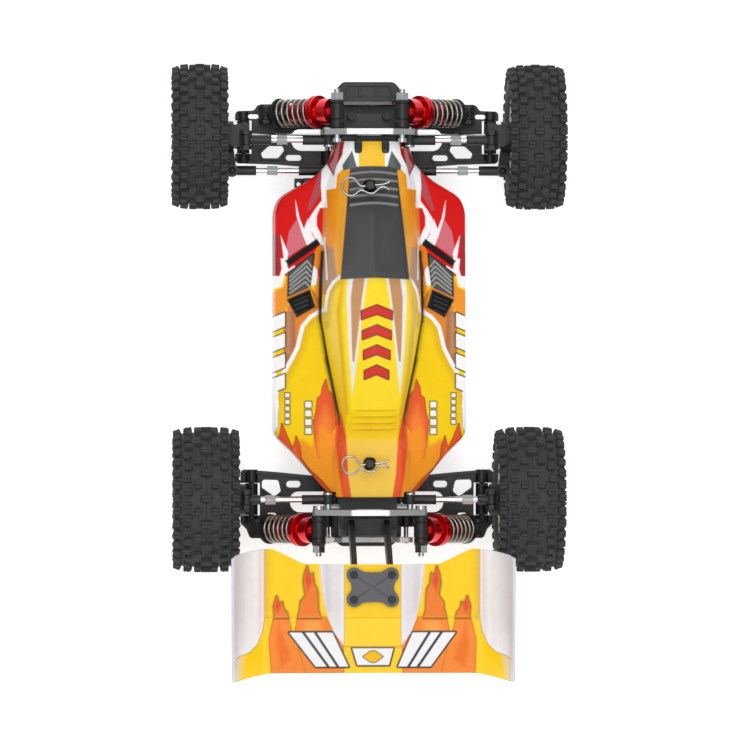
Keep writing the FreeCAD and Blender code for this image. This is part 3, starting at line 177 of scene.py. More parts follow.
# ------------------------------------------------------------------ CAD nodes
def islands(obj):
    """Separate solids of a node as (face numbers, lowest corner, highest corner) in mm."""
    mesh = obj.data
    co = np.empty(len(mesh.vertices) * 3)
    mesh.vertices.foreach_get("co", co)
    co = co.reshape(-1, 3) / MM
    _, weld = np.unique(np.round(co, 3), axis=0, return_inverse=True)
    weld = weld.reshape(-1)
    corner = np.empty(len(mesh.loops), int)
    mesh.loops.foreach_get("vertex_index", corner)
    start = np.empty(len(mesh.polygons), int)
    mesh.polygons.foreach_get("loop_start", start)
    ends = np.append(start[1:], len(corner))
    faces = weld[corner]
    owner = np.repeat(np.arange(len(start)), ends - start)
    label = np.arange(weld.max() + 1)    # each point takes the lowest label of its faces, until none changes
    while True:
        low = np.full(len(start), len(label))
        np.minimum.at(low, owner, label[faces])
        fresh = label.copy()
        np.minimum.at(fresh, faces, low[owner])
        fresh = fresh[fresh]
        if np.array_equal(fresh, label):
            break
        label = fresh
    face_label = label[faces[start]]
    point_label = label[weld]
    found = []
    for key in np.unique(face_label):
        inside = co[point_label == key]
        found.append((np.nonzero(face_label == key)[0], inside.min(0), inside.max(0)))
    return found


def finish(node, default, rules=()):
    """Gives a node its material, or each of its solids that of the first rule which fits it."""
    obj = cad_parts[node]
    names = [default] + [name for _, name in rules]
    obj.data.materials.clear()
    for name in names:
        obj.data.materials.append(MATERIALS[name])
    index = np.zeros(len(obj.data.polygons), int)
    if rules:
        for faces, low, high in islands(obj):
            size, middle = high - low, (high + low) / 2
            middle[1] -= SHIFT
            for number, (test, _) in enumerate(rules, 1):
                if test(size, middle):
                    index[faces] = number
                    break
    obj.data.polygons.foreach_set("material_index", index)
    obj.data.update()


def blacken_eye(node):
    """Gives the moulded eye at the upper or lower end of a shock its own black material."""
    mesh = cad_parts[node].data
    side = -1 if node.endswith("left") else 1
    top, down, length = shock_axis(FRONT if node.startswith("front") else REAR, side)
    centre = np.empty(len(mesh.polygons) * 3)
    mesh.polygons.foreach_get("center", centre)
    away = centre.reshape(-1, 3) / MM - (0, SHIFT, 0) - top
    if "shaft" in node:
        black = away @ down > length - SEAT_END
    else:
        black = np.hypot(away[:, 0], away[:, 2]) < EYE_RADIUS
    mesh.materials.append(MATERIALS["black_nylon"])
    mesh.polygons.foreach_set("material_index", black.astype(int))
    mesh.update()


def finish_nodes():
    """Materials of all CAD nodes that stay in view; a rule tests a solid's size s and middle m, in mm."""
    plain = {
        "chassis_plate": "dark_alloy",
        "front_shock_tower": "silver_alloy",
        "rear_shock_tower": "silver_alloy",
        "wing_plate": "grey_nylon",
        "body_clips": "spring_steel",
        "front_differential": "gear_steel",
        "rear_differential": "gear_steel",
    }
    rules = {
        "motor": ("motor_can", [
            (lambda s, m: s[1] < 3.5, "dark_alloy"),
            (lambda s, m: s[1] < 14, "black_nylon"),
        ]),
        "motor_pinion": ("gear_steel", [(lambda s, m: s[0] < 4, "steel")]),
        "center_shaft": ("steel", [
            (lambda s, m: s[0] > 20, "black_nylon"),
            (lambda s, m: s[1] < 5, "black_steel"),
        ]),
        "battery_pack": ("battery_wrap", [(lambda s, m: s[1] < 20, "black_nylon")]),
        "hinge_pins_and_screws": ("steel", [
            (lambda s, m: s[0] > 40, "silver_alloy"),
            (lambda s, m: m[2] > 90, "black_steel"),
            (lambda s, m: s[2] > 24, "black_steel"),
            (lambda s, m: s[1] < 3.8 and 50 < m[2] < 58, "black_steel"),
        ]),
    }
    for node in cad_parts:
        if "tyre" in node or node in ("body_shell", "rear_wing", "shock_springs"):
            continue
        if "camber_link" in node or "tie_rod" in node:
            finish(node, "black_nylon", [(lambda s, m: s[2] < 5.2 and s[1] < 5.2, "steel")])
        elif "shock_body" in node:
            finish(node, "red_alloy")
            blacken_eye(node)
        elif "rim" in node:
            finish(node, "steel", [(lambda s, m: s[2] > 30, "rim_plastic")])
        elif "lower_arm" in node:
            finish(node, "steel", [(lambda s, m: s[0] > 20, "black_nylon")])
        elif "shock_shaft" in node:
            finish(node, "steel")
            blacken_eye(node)
        elif "shaft" in node and node != "center_shaft":
            finish(node, "steel")
        elif node in rules:
            finish(node, *rules[node])
        else:
            finish(node, plain.get(node, "black_nylon"))


# ------------------------------------------------------------------ mesh building
def mesh_piece(name, points, faces, mat):
    """Object from points in mm and lists of faces."""
    mesh = bpy.data.meshes.new(name)
    mesh.from_pydata(placed(points).tolist(), [], [list(map(int, f)) for f in faces])
    mesh.materials.append(MATERIALS[mat])
    mesh.polygons.foreach_set("use_smooth", [True] * len(mesh.polygons))
    mesh.update()
    obj = bpy.data.objects.new(name, mesh)
    bpy.context.scene.collection.objects.link(obj)
    return obj


def grid_faces(rows, columns, wrap_rows=False, wrap_columns=False):
    """Four-sided faces of a grid of points, closed round where wrapped."""
    i = np.arange(rows if wrap_rows else rows - 1)
    j = np.arange(columns if wrap_columns else columns - 1)
    i, j = (g.ravel() for g in np.meshgrid(i, j, indexing="ij"))
    i2, j2 = (i + 1) % rows, (j + 1) % columns
    return np.stack([i * columns + j, i2 * columns + j, i2 * columns + j2, i * columns + j2], 1)


def curve_through(points, steps):
    """Smooth open curve through points, with the given steps between each pair."""
    p = np.array(points, float)
    p = np.vstack([2 * p[0] - p[1], p, 2 * p[-1] - p[-2]])
    t = np.linspace(0, 1, steps, endpoint=False)[:, None]
    out = []
    for a, b, c, d in zip(p, p[1:], p[2:], p[3:]):
        bend = (2 * a - 5 * b + 4 * c - d) * t ** 2
        twist = (3 * b - a - 3 * c + d) * t ** 3
        out.append(0.5 * (2 * b + (c - a) * t + bend + twist))
    return np.vstack(out + [p[-2:-1]])


# ------------------------------------------------------------------ tyres
GROUPS = 17                 # repeats of the tread's pattern round a tyre
GROUP_STEPS = 8             # of the carcass under each
FIRST_BLOCK = 0.15          # where the pattern starts, as a share of a repeat


def block_profile():
    """Grid of a tread block on -1..1 with its height, rounded at the edges and grooved across the middle."""
    a = np.array([-1, -0.97, -0.9, -0.76, -0.35, 0.35, 0.76, 0.9, 0.97, 1])
    ha = np.array([-0.5, 0.6, 0.9, 1, 0.97, 0.97, 1, 0.9, 0.6, -0.5])
    b = np.array([-1, -0.97, -0.9, -0.76, -0.24, -0.12, 0.12, 0.24, 0.76, 0.9, 0.97, 1])
    hb = np.array([-0.5, 0.6, 0.9, 1, 0.97, 0.7, 0.7, 0.97, 1, 0.9, 0.6, -0.5])
    across, along = np.meshgrid(a, b, indexing="ij")
    return across * (1 - 0.07 * along ** 4), along * (1 - 0.05 * across ** 4), np.minimum.outer(ha, hb)


def tread_blocks(half):
    """Blocks of a group as (x, share of a repeat, half width, half length, foot radius, height, tilt)."""
    wide = half / 13.0
    blocks = [(0, 0, 2.3 * wide, 1.55, 32.25, 2.7, 0)]
    for side in (-1, 1):
        blocks += [
            (side * 3.35 * wide, 0.5, 1.75, 1.5, 32.2, 2.7, 2 * side),
            (side * 7.0 * wide, -0.25, 1.75, 1.45, 31.95, 2.75, 5 * side),
            (side * 7.6 * wide, 0.25, 1.75, 1.45, 31.9, 2.75, 5 * side),
            (side * (half - 1.95), -0.02, 1.9, 1.75, 31.0, 2.6, 20 * side),
            (side * (half - 2.05), 0.48, 1.9, 1.75, 31.0, 2.6, 20 * side),
            (side * (half - 0.75), 0.23, 1.5, 0.8, 29.4, 1.1, 66 * side),
            (side * (half - 0.75), 0.73, 1.5, 0.8, 29.4, 1.1, 66 * side),
        ]
    return blocks


def carcass_profile(half):
    """Closed section of a tyre as (x from its middle, radius)."""
    outer = [
        (-half + 2.4, 20.7), (-half + 1.0, 22.4), (-half + 0.35, 23.4), (-half + 0.5, 24.0),
        (-half + 0.1, 25.2), (-half, 27.4), (-half + 0.35, 29.3), (-half + 1.3, 30.6),
        (-half + 3.2, 31.5), (-half + 6.5, 32.1), (-0.5, 32.3), (-0.16, 32.32), (0, 32.5),
    ]
    outer += [(-x, r) for x, r in reversed(outer[:-1])]
    inner = [(half - 4.2, 21.0), (half - 3.2, 26), (half - 3.4, 28.6), (half - 6, 29.6), (0, 30.0)]
    inner += [(-x, r) for x, r in reversed(inner[:-1])]
    return np.vstack([curve_through(outer, 4), np.array(inner)])


def tyre(corner, side, name, body, node):
    """Tyre with a tread of separate blocks, in place of the plain CAD tyre."""
    half, x0 = corner["half"], side * corner["wheel_x"]
    profile = carcass_profile(half)
    turns = GROUPS * GROUP_STEPS
    angle = np.linspace(0, 2 * math.pi, turns, endpoint=False)
    ring = np.zeros((turns, len(profile), 3))
    ring[..., 0] = x0 + profile[:, 0]
    ring[..., 1] = corner["y"] + np.cos(angle)[:, None] * profile[:, 1]
    ring[..., 2] = AXLE_Z + np.sin(angle)[:, None] * profile[:, 1]
    points, faces = [ring.reshape(-1, 3)], [grid_faces(turns, len(profile), True, True)]
    across, along, height = block_profile()
    block_faces = grid_faces(*height.shape)
    total = turns * len(profile)
    for group in range(GROUPS):
        for x, step, wide, length, foot, tall, tilt in tread_blocks(half):
            turn = 2 * math.pi * (group + step + FIRST_BLOCK) / GROUPS
            lean = math.radians(tilt)
            radial = np.array([0, math.cos(turn), math.sin(turn)])
            tangent = np.array([0, -math.sin(turn), math.cos(turn)])
            axial = np.array([1.0, 0, 0])
            up = math.cos(lean) * radial + math.sin(lean) * axial
            out = math.cos(lean) * axial - math.sin(lean) * radial
            centre = np.array([x0 + x, corner["y"], AXLE_Z]) + foot * radial
            block = (centre + (across * wide)[..., None] * out + (along * length)[..., None] * tangent
                     + (height * tall)[..., None] * up)
            points.append(block.reshape(-1, 3))
            faces.append(block_faces + total)
            total += block.shape[0] * block.shape[1]
    obj = mesh_piece(name, np.vstack(points), np.vstack(faces), "tyre_rubber")
    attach(obj, body)
    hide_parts(node)


# ------------------------------------------------------------------ springs
SPRING_TOP = 13.5           # from a shock's upper eye to its spring
SPRING_SEAT = 9.1           # from the spring to the lower eye
WIRE = 0.65                 # radius of the wire
COIL = 6.2                  # radius of the coil at the middle of the wire
COIL_TURNS = 6.5
TURN_STEPS = 40
WIRE_SIDES = 12
CLOSED = 0.06               # share of the wire wound flat at either end
CLOSED_RISE = 0.02          # share of the height that it takes


def spring(corner, side, name):
    """Coil with closed ends round the shock."""
    top, down, length = shock_axis(corner, side)
    across = np.array([0.0, 1.0, 0.0])
    other = np.cross(down, across)
    start, end = SPRING_TOP + WIRE, length - SPRING_SEAT - WIRE
    t = np.linspace(0, 1, int(COIL_TURNS * TURN_STEPS))
    rise = np.interp(t, [0, CLOSED, 1 - CLOSED, 1], [0, CLOSED_RISE, 1 - CLOSED_RISE, 1])
    turn = 2 * math.pi * COIL_TURNS * t
    normal = np.cos(turn)[:, None] * across + np.sin(turn)[:, None] * other
    path = top + down * (start + (end - start) * rise)[:, None] + COIL * normal
    sides = np.linspace(0, 2 * math.pi, WIRE_SIDES, endpoint=False)
    tube = (path[:, None, :] + WIRE * np.cos(sides)[None, :, None] * normal[:, None, :]
            + WIRE * np.sin(sides)[None, :, None] * down)
    faces = grid_faces(len(t), WIRE_SIDES, False, True).tolist()
    last = (len(t) - 1) * WIRE_SIDES
    faces += [list(range(WIRE_SIDES - 1, -1, -1)), list(range(last, last + WIRE_SIDES))]
    obj = mesh_piece(name, tube.reshape(-1, 3), faces, "spring_steel")
    ends = placed([top + down * (start + 0.5), top + down * (end - 0.5)])
    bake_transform(obj)
    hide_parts("shock_springs")


# ------------------------------------------------------------------ sleeves, spacers and nose tabs
def turned(name, profile, places, mat):
    """Closed (distance, radius) profile turned round each (origin, direction), as one piece."""
    profile = np.array(profile, float)
    angle = np.linspace(0, 2 * math.pi, 48, endpoint=False)
    points, faces = [], []
    for number, (origin, along) in enumerate(places):
        side = np.cross(along, [0.31, 0.17, 0.9])
        side /= np.linalg.norm(side)
        up = np.cross(along, side)
        spoke = np.cos(angle)[:, None] * side + np.sin(angle)[:, None] * up
        ring = origin + profile[None, :, :1] * along + profile[None, :, 1:] * spoke[:, None, :]
        points.append(ring.reshape(-1, 3))
        faces.append(grid_faces(len(angle), len(profile), True, True) + number * len(angle) * len(profile))
    return mesh_piece(name, np.vstack(points), np.vstack(faces), mat)


def shock_sleeve(corner, side, name, body):
    """Ribbed sleeve over the lower part of a shock body."""
    top, down, _ = shock_axis(corner, side)
    start, end, radius, bore, rib = 16.0, 24.3, 4.92, 4.7, 1.1
    groove = radius - 0.22
    outside = [(start, radius)]
    at = start + 0.5
    while at + rib < end:
        outside += [(at, radius), (at + 0.2, groove), (at + 0.5, groove), (at + 0.7, radius)]
        at += rib
    profile = outside + [(end, radius), (end + 0.25, radius - 0.1), (end + 0.25, bore), (start, bore)]
    obj = turned(name, profile, [(top, down)], "black_nylon")
    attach(obj, body)


# Spacers on the upper shock studs as (axle, y of either end).
SPACERS = [(FRONT, 89.65, 94.3), (FRONT, 101.7, 103.35), (REAR, -97.3, -93.95), (REAR, -108.15, -104.7)]


def stud_spacers():
    """Spacers on the upper shock studs, either side of each shock eye."""
    hole, outer, chamfer = 1.62, 3.35, 0.35
    for number, (corner, low, high) in enumerate(SPACERS):
        long = high - low
        profile = [(0, hole), (0, outer - chamfer), (chamfer, outer), (long - chamfer, outer),
                   (long, outer - chamfer), (long, hole)]
        xt, zt = corner["top"]
        places = [(np.array([side * xt, low, zt]), np.array([0.0, 1.0, 0.0])) for side in (-1, 1)]
        obj = turned(f"shock_spacers_{number + 1}", profile, places, "black_nylon")
        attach(obj, "chassis")


TAB_PLACE = (6.5, 81.6)     # from the shell's middle
TAB_HALF = (1.8, 3.3)
TAB_LEVELS = [(54.6, 1), (57.4, 1), (57.8, 0.95), (58.0, 0.84), (58.0, 0.5), (57.7, 0.42), (57.7, 0.02)]
TAB_SIDES = 40


def nose_tabs():
    """Two hold-down tabs over the nose of the shell, as rounded rings at (height, share of the size)."""
    t = np.linspace(0, 2 * math.pi, TAB_SIDES, endpoint=False)
    c, s = np.cos(t), np.sin(t)
    half_x, half_y = TAB_HALF
    for tag, side in (("right", 1), ("left", -1)):
        middle = np.array([SHELL_DX + side * TAB_PLACE[0], TAB_PLACE[1]])
        px = middle[0] + half_x * np.sign(c) * np.sqrt(np.abs(c))
        py = middle[1] + half_y * np.sign(s) * np.sqrt(np.abs(s))
        outline = np.stack([px, py], 1)
        points = [(*p, z) for z, share in TAB_LEVELS for p in middle + (outline - middle) * share]
        faces = grid_faces(len(TAB_LEVELS), TAB_SIDES, False, True).tolist()
        faces.append(list(range(TAB_SIDES - 1, -1, -1)))
        faces.append(list(range(len(points) - TAB_SIDES, len(points))))
        obj = mesh_piece(f"nose_tab_{tag}", points, faces, "black_nylon")
        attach(obj, "chassis")


# ------------------------------------------------------------------ painting on a dense sheet
def line_distance(points, x, y):
    """Distance to an open line of straight stretches."""
    best = np.full(x.shape, 1e9)
    for (x0, y0), (x1, y1) in zip(points, points[1:]):
        dx, dy = x1 - x0, y1 - y0
        t = np.clip(((x - x0) * dx + (y - y0) * dy) / max(dx * dx + dy * dy, 1e-9), 0, 1)
        best = np.minimum(best, np.hypot(x - x0 - t * dx, y - y0 - t * dy))
    return best


def signed_distance(points, x, y):
    """Distance to a closed outline, negative inside."""
    closed = points + points[:1]
    inside = np.zeros(x.shape, bool)
    for (x0, y0), (x1, y1) in zip(closed, closed[1:]):
        if y0 != y1:
            inside ^= ((y0 > y) != (y1 > y)) & (x < (x1 - x0) * (y - y0) / (y1 - y0) + x0)
    best = line_distance(closed, x, y)
    return np.where(inside, -best, best)


class Paint:
    """Colours laid in order on a ground, by distance x from the sheet's middle and y along it, in mm."""

    def __init__(self, x, y, ground):
        self.x, self.y = x, y
        self.colour = np.broadcast_to(ground, (*x.shape, 3))

    def lay(self, amount, colour):
        amount = np.clip(amount, 0, 1)[..., None]
        self.colour = self.colour * (1 - amount) + rgb(colour) * amount

    def fill(self, colour, points, soft=0.35, strength=1.0):
        self.lay(strength * (0.5 - signed_distance(points, self.x, self.y) / soft), colour)

    def line(self, colour, points, width, soft=0.35, strength=1.0):
        self.lay(strength * (0.5 + (width / 2 - line_distance(points, self.x, self.y)) / soft), colour)

    def outlined(self, colour, points, border, width):
        self.line(border, points + points[:1], width * 2)
        self.fill(colour, points)


def sheet_piece(name, grid, colours, keep, mat, thickness):
    """Painted sheet from a grid of points, given its thickness downwards."""
    rows, columns = grid.shape[:2]
    faces = grid_faces(rows, columns)
    faces = faces[keep.ravel()[faces].all(1)]
    used, faces = np.unique(faces, return_inverse=True)
    faces = faces.reshape(-1, 4)
    obj = mesh_piece(name, grid.reshape(-1, 3)[used], faces, mat)
    layer = obj.data.color_attributes.new("livery", "FLOAT_COLOR", "POINT")
    rgba = np.ones((len(used), 4), np.float32)
    rgba[:, :3] = colours.reshape(-1, 3)[used]
    layer.data.foreach_set("color", rgba.ravel())
    solid = obj.modifiers.new("skin", "SOLIDIFY")
    solid.thickness = thickness * MM
    solid.offset = -1
    return obj


def corners_at(sections, places):
    """Corners of the section at each place, between the listed sections."""
    known = [section[0] for section in sections]
    tracks = [[np.interp(places, known, [section[k][c] for section in sections]) for c in (0, 1)]
              for k in range(1, len(sections[0]))]
    return np.moveaxis(np.array(tracks), -1, 0)


def spread_along(corners, samples):
    """Points along each section, with so many samples on each stretch between its corners."""
    share = np.concatenate([k + np.arange(n) / n for k, n in enumerate(samples)] + [[len(samples)]])
    low = np.minimum(share.astype(int), len(samples) - 1)
    part = (share - low)[None, :, None]
    return corners[:, low] * (1 - part) + corners[:, low + 1] * part


def smoothed(grid, axis, reach):
    """Weighted running mean along one axis of a grid."""
    offsets = np.arange(-reach, reach + 1)
    weights = np.exp(-0.5 * (offsets / (reach / 2)) ** 2)
    weights /= weights.sum()
    pads = [(0, 0)] * grid.ndim
    pads[axis] = (reach, reach)
    wide = np.pad(grid, pads, mode="reflect", reflect_type="odd")
    size = grid.shape[axis]
    return sum(w * np.take(wide, np.arange(size) + reach + o, axis=axis) for w, o in zip(weights, offsets))


# ------------------------------------------------------------------ body shell
# Half sections as (y, bottom edge, pod crease, pod top, cab foot, cab shoulder, roof), each corner an (x, z).
SHELL_SECTIONS = [
    (84.0, (17.6, 46), (17.4, 48.6), (16.9, 51.2), (15.4, 53.6), (10.5, 55.6), (0, 56.4)),
    (73.0, (21, 44.8), (20.3, 47), (18.6, 50.4), (16.2, 54), (11.5, 57.6), (0, 58.8)),
    (66.0, (29, 42.6), (27.6, 44.8), (20.6, 49.4), (17.4, 54.4), (12, 59.4), (0, 60.8)),
    (58.4, (44, 27), (42.6, 39), (22, 48.5), (18, 55.5), (12.7, 61.6), (0, 63)),
    (51.5, (46.6, 20), (45.7, 38), (23, 48.5), (19.3, 57), (13.3, 64.4), (0, 66)),
    (20.0, (46.5, 19), (45.8, 39), (24, 48.5), (22, 62), (16.5, 75.6), (0, 77.6)),
    (0.0, (46.5, 19), (45.8, 39), (24.5, 48.5), (22.6, 64), (17.5, 77), (0, 79)),
    (-20.0, (46.5, 19), (45.8, 39), (21, 48.5), (19.4, 63), (15.2, 75), (0, 77)),
    (-45.0, (46.8, 19), (46.1, 38.5), (15.8, 50), (14.8, 60), (12.6, 68), (0, 70)),
    (-56.0, (46.8, 20), (45.9, 38), (15.2, 52), (14.2, 57), (12.8, 61), (0, 62.5)),
    (-64.0, (38, 30), (37.2, 41), (19, 53), (16.8, 57), (14.6, 59.5), (0, 61)),
    (-80.0, (24, 46.5), (22.5, 49), (18.5, 53.4), (16.5, 55.6), (14, 57.5), (0, 59)),
    (-85.4, (19, 50.5), (18, 52), (17, 53.6), (15.5, 55), (13, 56.5), (0, 58)),
]
STEP = 0.35                 # between the points of a painted sheet
SHELL_SAMPLES = (24, 64, 26, 26, 46)
SHELL_SKIN = 1.1
YELLOW = "#ffd60a"
ROOF_DX = 1.5               # of the roof's artwork, from the shell's middle
ROOF_Z, ROOF_END = 62.0, 19.0   # it lies above this height and behind this y
RELIEF_Z = 38.0             # the sides below this height are plain
POSTS = (62.6, -69.4)       # y of the body posts
POST_HOLE = 2.9
LINK_ENDS = ((19.2, 84.6), (19.6, -86.7))   # (x, y) of the camber links' inner ends
LINK_Z = 53.0
LINK_HALF, LINK_RADIUS = 3.7, 3.8   # kept clear round them, along y and across it


def shell_grid():
    """Points of the whole shell, in rows along y and columns from right to left."""
    ys = np.arange(SHELL_SECTIONS[-1][0], SHELL_SECTIONS[0][0] + 0.01, STEP)
    corners = smoothed(corners_at(SHELL_SECTIONS[::-1], ys), 0, 12)
    half = spread_along(corners, SHELL_SAMPLES)
    left = half * np.array([-1, 1])
    full = smoothed(np.concatenate([half, left[:, -2::-1]], 1), 1, 5)
    grid = np.zeros((*full.shape[:2], 3))
    grid[..., 0], grid[..., 2] = full[..., 0], full[..., 1]
    grid[..., 1] = ys[:, None]
    return grid


# Outlines and lines of the artwork, here and below, are for its right half as (distance from the middle, y).
VALLEY = [(23, 31), (23.7, 20), (24.1, 8.5), (23.9, -1.5), (22.9, -7), (20.9, -19.7), (18.8, -28.9),
          (16.9, -38.1), (15.5, -45), (14.6, -50)]
VALLEY_TOP = 54.5           # the painted shadow in the valley is laid only below this height
SCOOP_BAR = [(24.1, 35.2), (25.9, 37.8), (40.9, 27.3), (39.1, 24.7)]
LOUVRE = [(27.5, 30.3), (39, 21.7), (39.3, 9.9), (29.6, 14.5)]
GRILLE = [(29.2, 13.6), (40.2, 8.8), (35.5, 0.2), (26.6, 5.2)]
GRILLE_HOLE = [(29.6, 11.6), (38.2, 7.9), (34.8, 2.0), (28.6, 5.6)]
ARCS = [67.9, 64.4, 60.5, 57.0, 53.0]    # y of the arcs over the hood
RIDGES = [-44.0, -47.0, -50.0, -53.0]    # y of the ridges behind the roof


def louvre_bars():
    """Bent bars across the louvre."""
    return [[(28.4 + 0.25 * i, 24.5 - 2.4 * i), (30.5 + 0.2 * i, 27.2 - 2.5 * i), (38.6, 19.5 - 1.9 * i)]
            for i in range(5)]


def shell_relief(x, y):
    """Raised and sunk details of the shell, in mm."""
    def step(distance, soft):
        return np.clip(0.5 - distance / soft, 0, 1)

    relief = 1.6 * step(signed_distance(SCOOP_BAR, x, y) + 0.2, 0.7)
    relief -= 0.9 * step(signed_distance(LOUVRE, x, y), 1.0)
    for bar in louvre_bars():
        relief += 0.9 * step(line_distance(bar, x, y) - 0.5, 0.6)
    relief += 1.6 * step(signed_distance(GRILLE, x, y), 1.2)
    relief -= 2.2 * step(signed_distance(GRILLE_HOLE, x, y), 0.8)
    relief -= 1.0 * step(line_distance(VALLEY, x, y) - 0.3, 1.4)
    for arc in ARCS:
        bend = arc + 1.3 * (1 - (x / 12.5) ** 2)
        relief += 0.45 * step(np.abs(y - bend) - 0.6, 0.7) * step(x - 11.2, 1.2)
    for ridge in RIDGES:
        relief += 0.5 * step(np.abs(y - ridge) - 0.35, 0.7) * step(x - 9.5, 1.2)
    relief += 0.6 * step(np.abs(x - 45.6) - 0.5, 0.8) * step(np.abs(y) - 48, 3)
    return relief


def paint_nose(p):
    """Orange and red flanks beside the hood, with a white splash over them."""
    p.fill("#fb9a14", [(8, 90), (20, 90), (27, 70), (27, 11), (10, 11)])
    p.fill("#ee7d12", [(21, 60), (24, 52), (27.5, 38), (26, 32), (22, 44)], soft=2.5)
    p.fill("#c9a07c", [(19.5, 32), (23.5, 32), (24, 14), (20, 11)], soft=5)
    p.fill("#ffb02a", [(11.5, 72), (15, 72), (18.5, 30), (18, 20), (14, 20)], soft=1.5)
    p.fill("#e01010", [(22, 73), (27, 69), (41.5, 60.5), (50, 60.5), (50, 20), (24, 20), (23, 50)])
    p.fill("#9c2f3c", [(43.5, 40), (50, 40), (50, 20), (43.5, 20)], soft=2.5)
    p.fill("#b84f58", [(22.5, 72.5), (24.5, 70.5), (27, 63), (30.5, 51.5), (29, 51.5), (24.5, 58.5)])
    p.fill("#dd7480", [(35, 47.5), (39, 41.5), (40.5, 32.5), (39.5, 29), (34.5, 32.5), (30.5, 35), (34, 45)])
    p.fill("#ffcb20", [(-3, 86), (6.2, 86), (6.2, 71), (-3, 71)])
    p.fill("#ffffff", [(9, 86), (12.5, 86), (14, 77.5), (17, 72), (18, 67.5), (21.5, 74), (23.5, 71),
                       (24, 63.5), (23.5, 56), (27, 51.5), (29.5, 47.5), (29.5, 43.5), (27, 38.5),
                       (24.5, 35), (22.5, 34), (22.5, 35.5), (24, 40), (26, 44), (26, 48.5), (24.5, 52.5),
                       (21, 52.5), (21.5, 61), (17, 61.5), (16.5, 68), (13, 71.5), (11.5, 75.5), (10, 72),
                       (9, 72)])
    p.fill("#9e1b22", [(13, 86), (20, 86), (18, 79.5), (21.5, 74), (18, 67.5), (17, 72), (14, 77.5)])
    p.fill("#c2808a", [(14.5, 86), (16, 86), (18, 76), (20, 73), (18, 68.5), (16.5, 73.5)])
    p.fill("#ffffff", [(6.2, 86), (9.4, 86), (9.4, 72), (6.2, 72)])
    p.fill("#5a625f", [(9.4, 79.5), (7.2, 71.5), (13.6, 70), (14, 72.5)])
    p.fill("#ffffff", [(30, 47.5), (32, 42.5), (34, 47.5), (36, 56.5), (35.5, 49), (32.5, 39.5), (30.5, 34.5),
                       (26, 36.5), (28, 39.5)])
    p.fill("#ffffff", [(43, 39.5), (39.5, 31.5), (40, 25), (39, 22.5), (41, 21), (42.5, 15), (50, 13),
                       (50, 20.5), (43.5, 20), (42.5, 23.5), (43, 28.5), (41.5, 28.5)])


def paint_cab_sides(p):
    """Tan strip and white arc beside the hood, over yellow lobes with painted shade at their edges."""
    p.fill(YELLOW, [(14, 19.5), (16.4, 19.3), (19, 16.5), (21, 13), (22.2, 8), (23.5, 2), (23, -12),
                    (10, -40), (8, -10)])
    p.fill("#b98f70", [(18.6, 33), (22.6, 34), (23.2, 18), (22, 11), (19.4, 16), (17.4, 19)], soft=1.2)
    p.line("#ffffff", [(22.4, 38), (21.9, 28), (21.6, 18)], 0.7)
    # darker yellow along the lobes' edges: painted shade
    p.line("#a8800c", [(15.8, 16.4), (18.6, 14.2), (20.2, 10.6), (21.2, 4), (21.4, -4)], 1.6, soft=2.4,
           strength=0.55)
    p.line("#ffffff", [(15.8, 19.3), (18.8, 16.6), (20.9, 13), (22, 8), (22.4, 3)], 1.3)


def paint_hood(p):
    """Dark hood and windscreen with its arcs."""
    hood = [(-3, 72.2), (7, 71.9), (11.2, 70.8), (13.1, 52), (16.4, 17.8), (8, 18.3), (-3, 18.6)]
    p.fill("#3a3a3b", hood)
    p.fill("#4a4a4b", [(-3, 50), (12.5, 50), (15.5, 19), (-3, 19.5)], soft=9, strength=0.5)
    for arc in ARCS:
        line = [(h, arc + 1.4 * (1 - (h / 12.5) ** 2)) for h in (-3, 0, 3, 6, 8.5, 11)]
        p.line("#2b2b2c", [(h, a - 0.9) for h, a in line], 0.5)
        p.line("#858586", line, 1.2)


